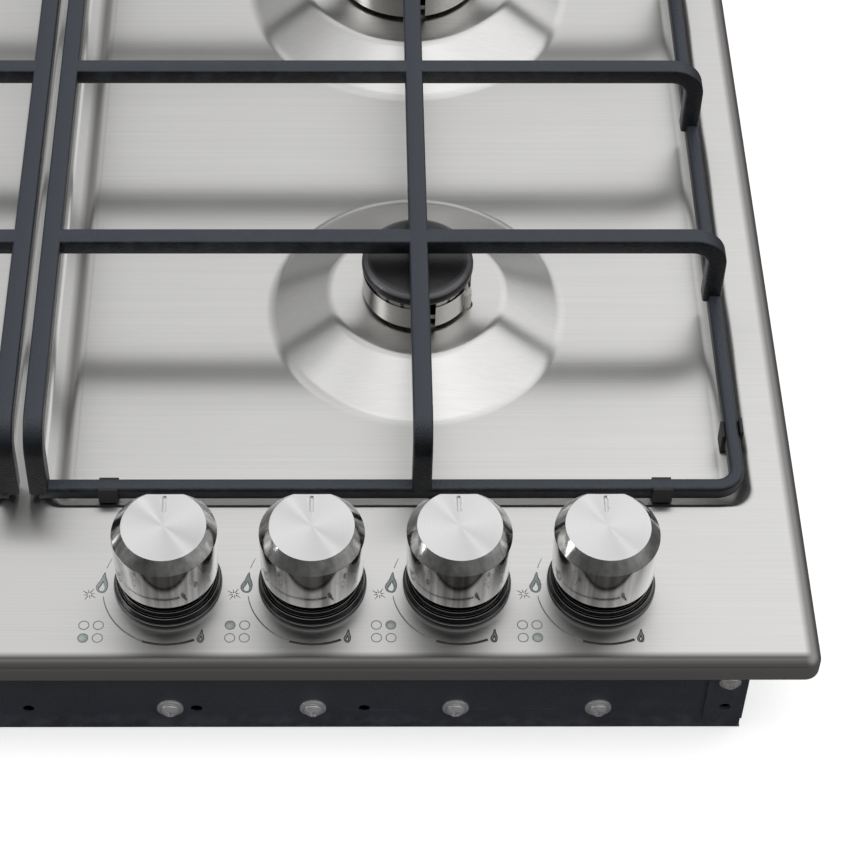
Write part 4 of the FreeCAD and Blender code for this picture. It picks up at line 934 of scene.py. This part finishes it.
def print_flame(line_mesh, fill_mesh, spot, flame):
    """A flame in outline, left open in its middle, with its filling."""
    place, outer_size, inner_size, lower, thick = flame
    loops = []
    for size, down in ((outer_size, 0), (inner_size, lower)):
        centre = spot + Vector((place[0], place[1] - down)) * MM
        loop = [centre + Vector((p.x * size[0], p.y * size[1])) * MM for p in smooth_loop(FLAME)]
        print_ribbon(line_mesh, loop, [thick * MM] * len(loop), closed=True)
        loops.append(loop)
    fill_between(fill_mesh, [ring_of(fill_mesh, loop, FILL_HIGH) for loop in loops])


def print_spark(mesh, centre, radius):
    """Eight tapering rays, long and short by turns."""
    for arm in range(8):
        angle = math.radians(45 * arm + 12)
        way = Vector((math.cos(angle), math.sin(angle)))
        far = radius * (1 if arm % 2 else 0.72)
        print_ribbon(mesh, [centre + way * far * 0.28, centre + way * far], [LINE_WIDE, 0.12 * MM])


def print_map(line_mesh, fill_mesh, spot, filled):
    """Four little rings for the four burners; the one that the knob feeds is filled."""
    for column_side in (-1, 1):
        for row_side in (-1, 1):
            x = spot.x + MAP_SPOT[0] + column_side * MAP_PITCH[0] / 2
            y = spot.y + MAP_SPOT[1] + row_side * MAP_PITCH[1] / 2
            ring = circle_points(x, y, MAP_RADIUS, 32)
            print_ribbon(line_mesh, ring, [LINE_WIDE] * len(ring), closed=True)
            if (column_side, row_side) == filled:
                disc = circle_points(x, y, MAP_RADIUS - LINE_WIDE / 2, 32)
                fill_mesh.faces.new(ring_of(fill_mesh, disc, PRINT_HIGH))


def as_print(name, mesh, ink):
    bmesh.ops.recalc_face_normals(mesh, faces=mesh.faces)
    for face in mesh.faces:
        if face.normal.z < 0:
            face.normal_flip()
    piece = as_piece(name, mesh, ink)
    modify(piece, "SOLIDIFY", thickness=INK_THICK, offset=-1)
    settle(piece)


def print_legends():
    """What each knob does: a dial line, two flames, a spark and a map of the four burners."""
    dark, lines, pale = bmesh.new(), bmesh.new(), bmesh.new()
    for knob, filled in zip(KNOB_SPOTS, MAP_FILLED):
        spot = Vector((knob.x, knob.y))
        print_arc(dark, spot, *DIAL_BOLD)
        print_arc(lines, spot, *DIAL_FINE)
        print_arc(lines, spot, *DIAL_END, steps=8)
        print_flame(dark, lines, spot, SMALL_FLAME)
        print_flame(lines, pale, spot, LARGE_FLAME)
        print_spark(dark, spot + Vector(SPARK_SPOT), SPARK_RADIUS)
        print_map(lines, pale, spot, filled)
    as_print("legend_symbols", dark, INK)
    as_print("legend_lines", lines, GREY_INK)
    as_print("legend_fills", pale, PALE_INK)


# ---------------- screws and carried pieces

SHANK_LONG = 6 * MM
RECESS_DEEP = 1.3 * MM
# in mm: radius of flange, dome and shank, height of the head, and from its seat to the screw's rear end
SCREWS = {"rail_screws": (4.9, 3.5, 1.9, 3.1, 7), "corner_screws": (4.0, 3.2, 1.45, 2.5, 6)}


def screw_head(mesh, matrix, flange, dome, shank, tall):
    """A domed head with its washer flange and a six-lobed recess, seated at z = 0."""
    made = bmesh.new()
    profile = arc_points([(0, -SHANK_LONG), (shank, -SHANK_LONG), (shank, 0), (flange, 0), (flange, 0.9 * MM),
                          (dome + 0.2 * MM, 1.1 * MM), (dome, tall * 0.62), (dome * 0.55, tall), (0, tall)],
                         [0, 0, 0, 0, 0.35 * MM, 0.15 * MM, 0.7 * MM, 0.8 * MM, 0], 4)
    turn_profile(made, profile, (0, 0), 48)
    head = as_piece("head", made, ZINC, body=None)
    lobes = bmesh.new()
    star = []
    for i in range(48):
        angle = FULL_TURN * i / 48
        radius = dome * (0.42 + 0.10 * math.cos(6 * angle))
        star.append((radius * math.cos(angle), radius * math.sin(angle)))
    column(lobes, [ring_of(lobes, star, z) for z in (tall - RECESS_DEEP, tall + MM)])
    carve(head, lobes)
    head.data.transform(matrix)
    mesh.from_mesh(head.data)
    bpy.data.objects.remove(head)


def loose_spots(node):
    """Lowest and highest corner of each separate solid of a node."""
    mesh = bmesh.new()
    mesh.from_mesh(NODES[node].data)
    bmesh.ops.remove_doubles(mesh, verts=mesh.verts, dist=SAME_SPOT)
    seen, spots = set(), []
    for start in mesh.verts:
        if start in seen:
            continue
        seen.add(start)
        group, queue = [], [start]
        while queue:
            vert = queue.pop()
            group.append(vert.co.copy())
            for edge in vert.link_edges:
                other = edge.other_vert(vert)
                if other not in seen:
                    seen.add(other)
                    queue.append(other)
        low = Vector([min(p[k] for p in group) for k in range(3)])
        high = Vector([max(p[k] for p in group) for k in range(3)])
        spots.append((low, high))
    mesh.free()
    return spots


def build_screws():
    """Each screw of a node seated on the front wall, its recess turned a little further than the last."""
    lying = Matrix.Rotation(math.radians(90), 4, "X")
    for node, (flange, dome, shank, tall, seat_from_rear) in SCREWS.items():
        mesh = bmesh.new()
        for turn, (low, high) in enumerate(loose_spots(node)):
            seat = high.y - seat_from_rear * MM
            spot = Matrix.Translation(((low.x + high.x) / 2, seat, (low.z + high.z) / 2))
            screw_head(mesh, spot @ lying @ Matrix.Rotation(turn * 1.1, 4, "Z"),
                       flange * MM, dome * MM, shank * MM, tall * MM)
        piece = as_piece(node + "_domed", mesh, ZINC, smooth=30)
        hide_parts(node)


def soften(node, width):
    """A CAD node with its edges broken, as bent sheet and mouldings have them."""
    mesh = bmesh.new()
    mesh.from_mesh(NODES[node].data)
    bmesh.ops.remove_doubles(mesh, verts=mesh.verts, dist=SAME_SPOT)
    bmesh.ops.dissolve_limit(mesh, angle_limit=math.radians(0.5), verts=mesh.verts, edges=mesh.edges)
    finish = NODES[node].data.materials[0]
    piece = as_piece(node + "_finished", mesh, finish, NODES[node]["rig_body"], smooth=40)
    modify(piece, "BEVEL", width=width, segments=3, limit_method="ANGLE", angle_limit=math.radians(40),
           harden_normals=True, use_clamp_overlap=True)
    settle(piece)
    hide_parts(node)


# how far the edges of a CAD node are broken, in mm
SOFT_EDGES = {
    "lower_case": 0.3, "front_wall": 0.25, "fixing_clips": 0.25, "clip_screws": 0.2, "inlet_elbow": 0.5,
    "mains_gland": 0.4, "support_feet_right": 0.35, "support_feet_left": 0.35, "spark_generator": 0.6,
}


# ---------------- floor, lights and camera

FLOOR_REACH = 6.0
FLOOR_DROP = 0.2 * MM
FLOOR_IN_REFLECTIONS = (0.17, 0.166, 0.162)
FLOOR_GLOW = 0.55
PAGE_WHITE = (0.96, 0.96, 0.96)
# the studio's brightness from low and near to high and right: position on the ramp and shade
SKY_LOW, SKY_TOP = (0.08, 0.08, 0.085), (1.25, 1.25, 1.25)
SKY_STEPS = ((0.26, 0.22), (0.40, 0.46), (0.62, 0.54), (0.76, 0.92), (0.86, 1.10))
SKY_SLANT = (0.85, 0.2, 1.0)


def light_panel(name, spot, aim, size, power):
    data = bpy.data.lights.new(name, "AREA")
    data.shape = "RECTANGLE"
    data.size, data.size_y = size
    data.energy = power
    lamp = bpy.data.objects.new(name, data)
    bpy.context.scene.collection.objects.link(lamp)
    lamp.location = spot
    lamp.rotation_euler = (Vector(aim) - Vector(spot)).to_track_quat("-Z", "Y").to_euler()


def lay_floor():
    """A white page to look at, but a darker floor where the metal mirrors it."""
    mesh = bmesh.new()
    corners = [(x * FLOOR_REACH, y * FLOOR_REACH) for x, y in ((-1, -1), (1, -1), (1, 1), (-1, 1))]
    mesh.faces.new(ring_of(mesh, corners, -FLOOR_DROP))
    paint, tree, shader, place = start_material("pale_floor", Roughness=0.9)
    pale = shade_between(tree, noise(tree, place, 3.0, 3.0), (0.90, 0.90, 0.90), (0.93, 0.93, 0.93))
    seen = add(tree, "LightPath").outputs["Is Camera Ray"]
    feed(tree, shader, Base_Color=blend_colour(tree, seen, FLOOR_IN_REFLECTIONS, pale),
         Emission_Color=(1, 1, 1, 1), Emission_Strength=product(tree, seen, FLOOR_GLOW))
    floor = as_piece("pale_floor", mesh, paint, body=None)


def light_room():
    """A pale studio: bright overhead, dimmer low down and dimmest in front of the object."""
    world = bpy.data.worlds.new("studio")
    bpy.context.scene.world = world
    world.use_nodes = True
    tree = world.node_tree
    way = parts_of(tree, add(tree, "TexCoord").outputs["Generated"])
    joined = feed(tree, add(tree, "CombineXYZ"), X=product(tree, way["X"], way["Z"]), Y=way["Y"], Z=way["Z"])
    slant = feed(tree, add(tree, "VectorMath", operation="DOT_PRODUCT"), i0=joined.outputs[0], i1=SKY_SLANT)
    level = mask_between(tree, slant.outputs["Value"], -0.4, 1.2)
    ramp = add(tree, "ValToRGB")
    stops = ramp.color_ramp.elements
    stops[0].position, stops[0].color = 0.0, (*SKY_LOW, 1)
    stops[1].position, stops[1].color = 1.0, (*SKY_TOP, 1)
    for position, shade in SKY_STEPS:
        stops.new(position).color = (shade, shade, shade, 1)
    tree.links.new(level, ramp.inputs["Fac"])
    dim = feed(tree, add(tree, "MapRange"), Value=way["Y"], From_Min=-0.75, From_Max=-0.35,
               To_Min=0.45, To_Max=1.0).outputs[0]
    dimmed = feed(tree, add(tree, "VectorMath", operation="SCALE"), i0=ramp.outputs["Color"], Scale=dim)
    seen = add(tree, "LightPath").outputs["Is Camera Ray"]
    feed(tree, tree.nodes["Background"], Color=blend_colour(tree, seen, dimmed.outputs[0], PAGE_WHITE),
         Strength=1.0)
    light_panel("overhead_softbox", (0.05, -0.35, 1.7), (0, -0.05, 0), (1.3, 0.8), 1.5)
    light_panel("left_softbox", (-1.6, -0.3, 0.9), (0, -0.1, 0), (0.5, 1.2), 9)


CAMERA_SPOT = (119.03 * MM, -739.05 * MM, 815.05 * MM)
CAMERA_PITCH = math.radians(47.42)
CAMERA_YAW = math.radians(-0.48)
CAMERA_ROLL = math.radians(-0.35)
SENSOR_WIDE = 36
PICTURE = 850
FOCAL_PIXELS = 2515.73
MIDDLE_PIXEL = (357.12, 228.64)


def place_camera():
    """The photo's own view: the picture is cut out beside the lens axis, hence the shifts."""
    data = bpy.data.cameras.new("photo_camera")
    camera = bpy.data.objects.new("photo_camera", data)
    bpy.context.scene.collection.objects.link(camera)
    yaw = Matrix.Rotation(CAMERA_YAW, 3, "Z")
    ahead = yaw @ Vector((0, math.cos(CAMERA_PITCH), -math.sin(CAMERA_PITCH)))
    right = yaw @ Vector((1, 0, 0))
    down = ahead.cross(right)
    right_rolled = math.cos(CAMERA_ROLL) * right + math.sin(CAMERA_ROLL) * down
    down_rolled = -math.sin(CAMERA_ROLL) * right + math.cos(CAMERA_ROLL) * down
    turn = Matrix((right_rolled, -down_rolled, -ahead)).transposed().to_4x4()
    camera.matrix_world = Matrix.Translation(CAMERA_SPOT) @ turn
    data.sensor_width = SENSOR_WIDE
    data.lens = FOCAL_PIXELS / PICTURE * SENSOR_WIDE
    data.shift_x = (PICTURE / 2 - MIDDLE_PIXEL[0]) / PICTURE
    data.shift_y = (MIDDLE_PIXEL[1] - PICTURE / 2) / PICTURE
    data.clip_start = 0.01
    bpy.context.scene.camera = camera


# ---------------- put together

dress_frame()
build_plate()
build_support(1, "support_right")
build_support(-1, "support_left")
for knob_number, knob_spot in enumerate(KNOB_SPOTS, start=1):
    build_knob(knob_number, knob_spot)
build_bezels()
for burner in BURNERS:
    build_burner(burner)
print_legends()
build_screws()
for soft_node, edge in SOFT_EDGES.items():
    soften(soft_node, edge * MM)
lay_floor()
light_room()
place_camera()
bpy.context.scene.view_settings.view_transform = "Standard"
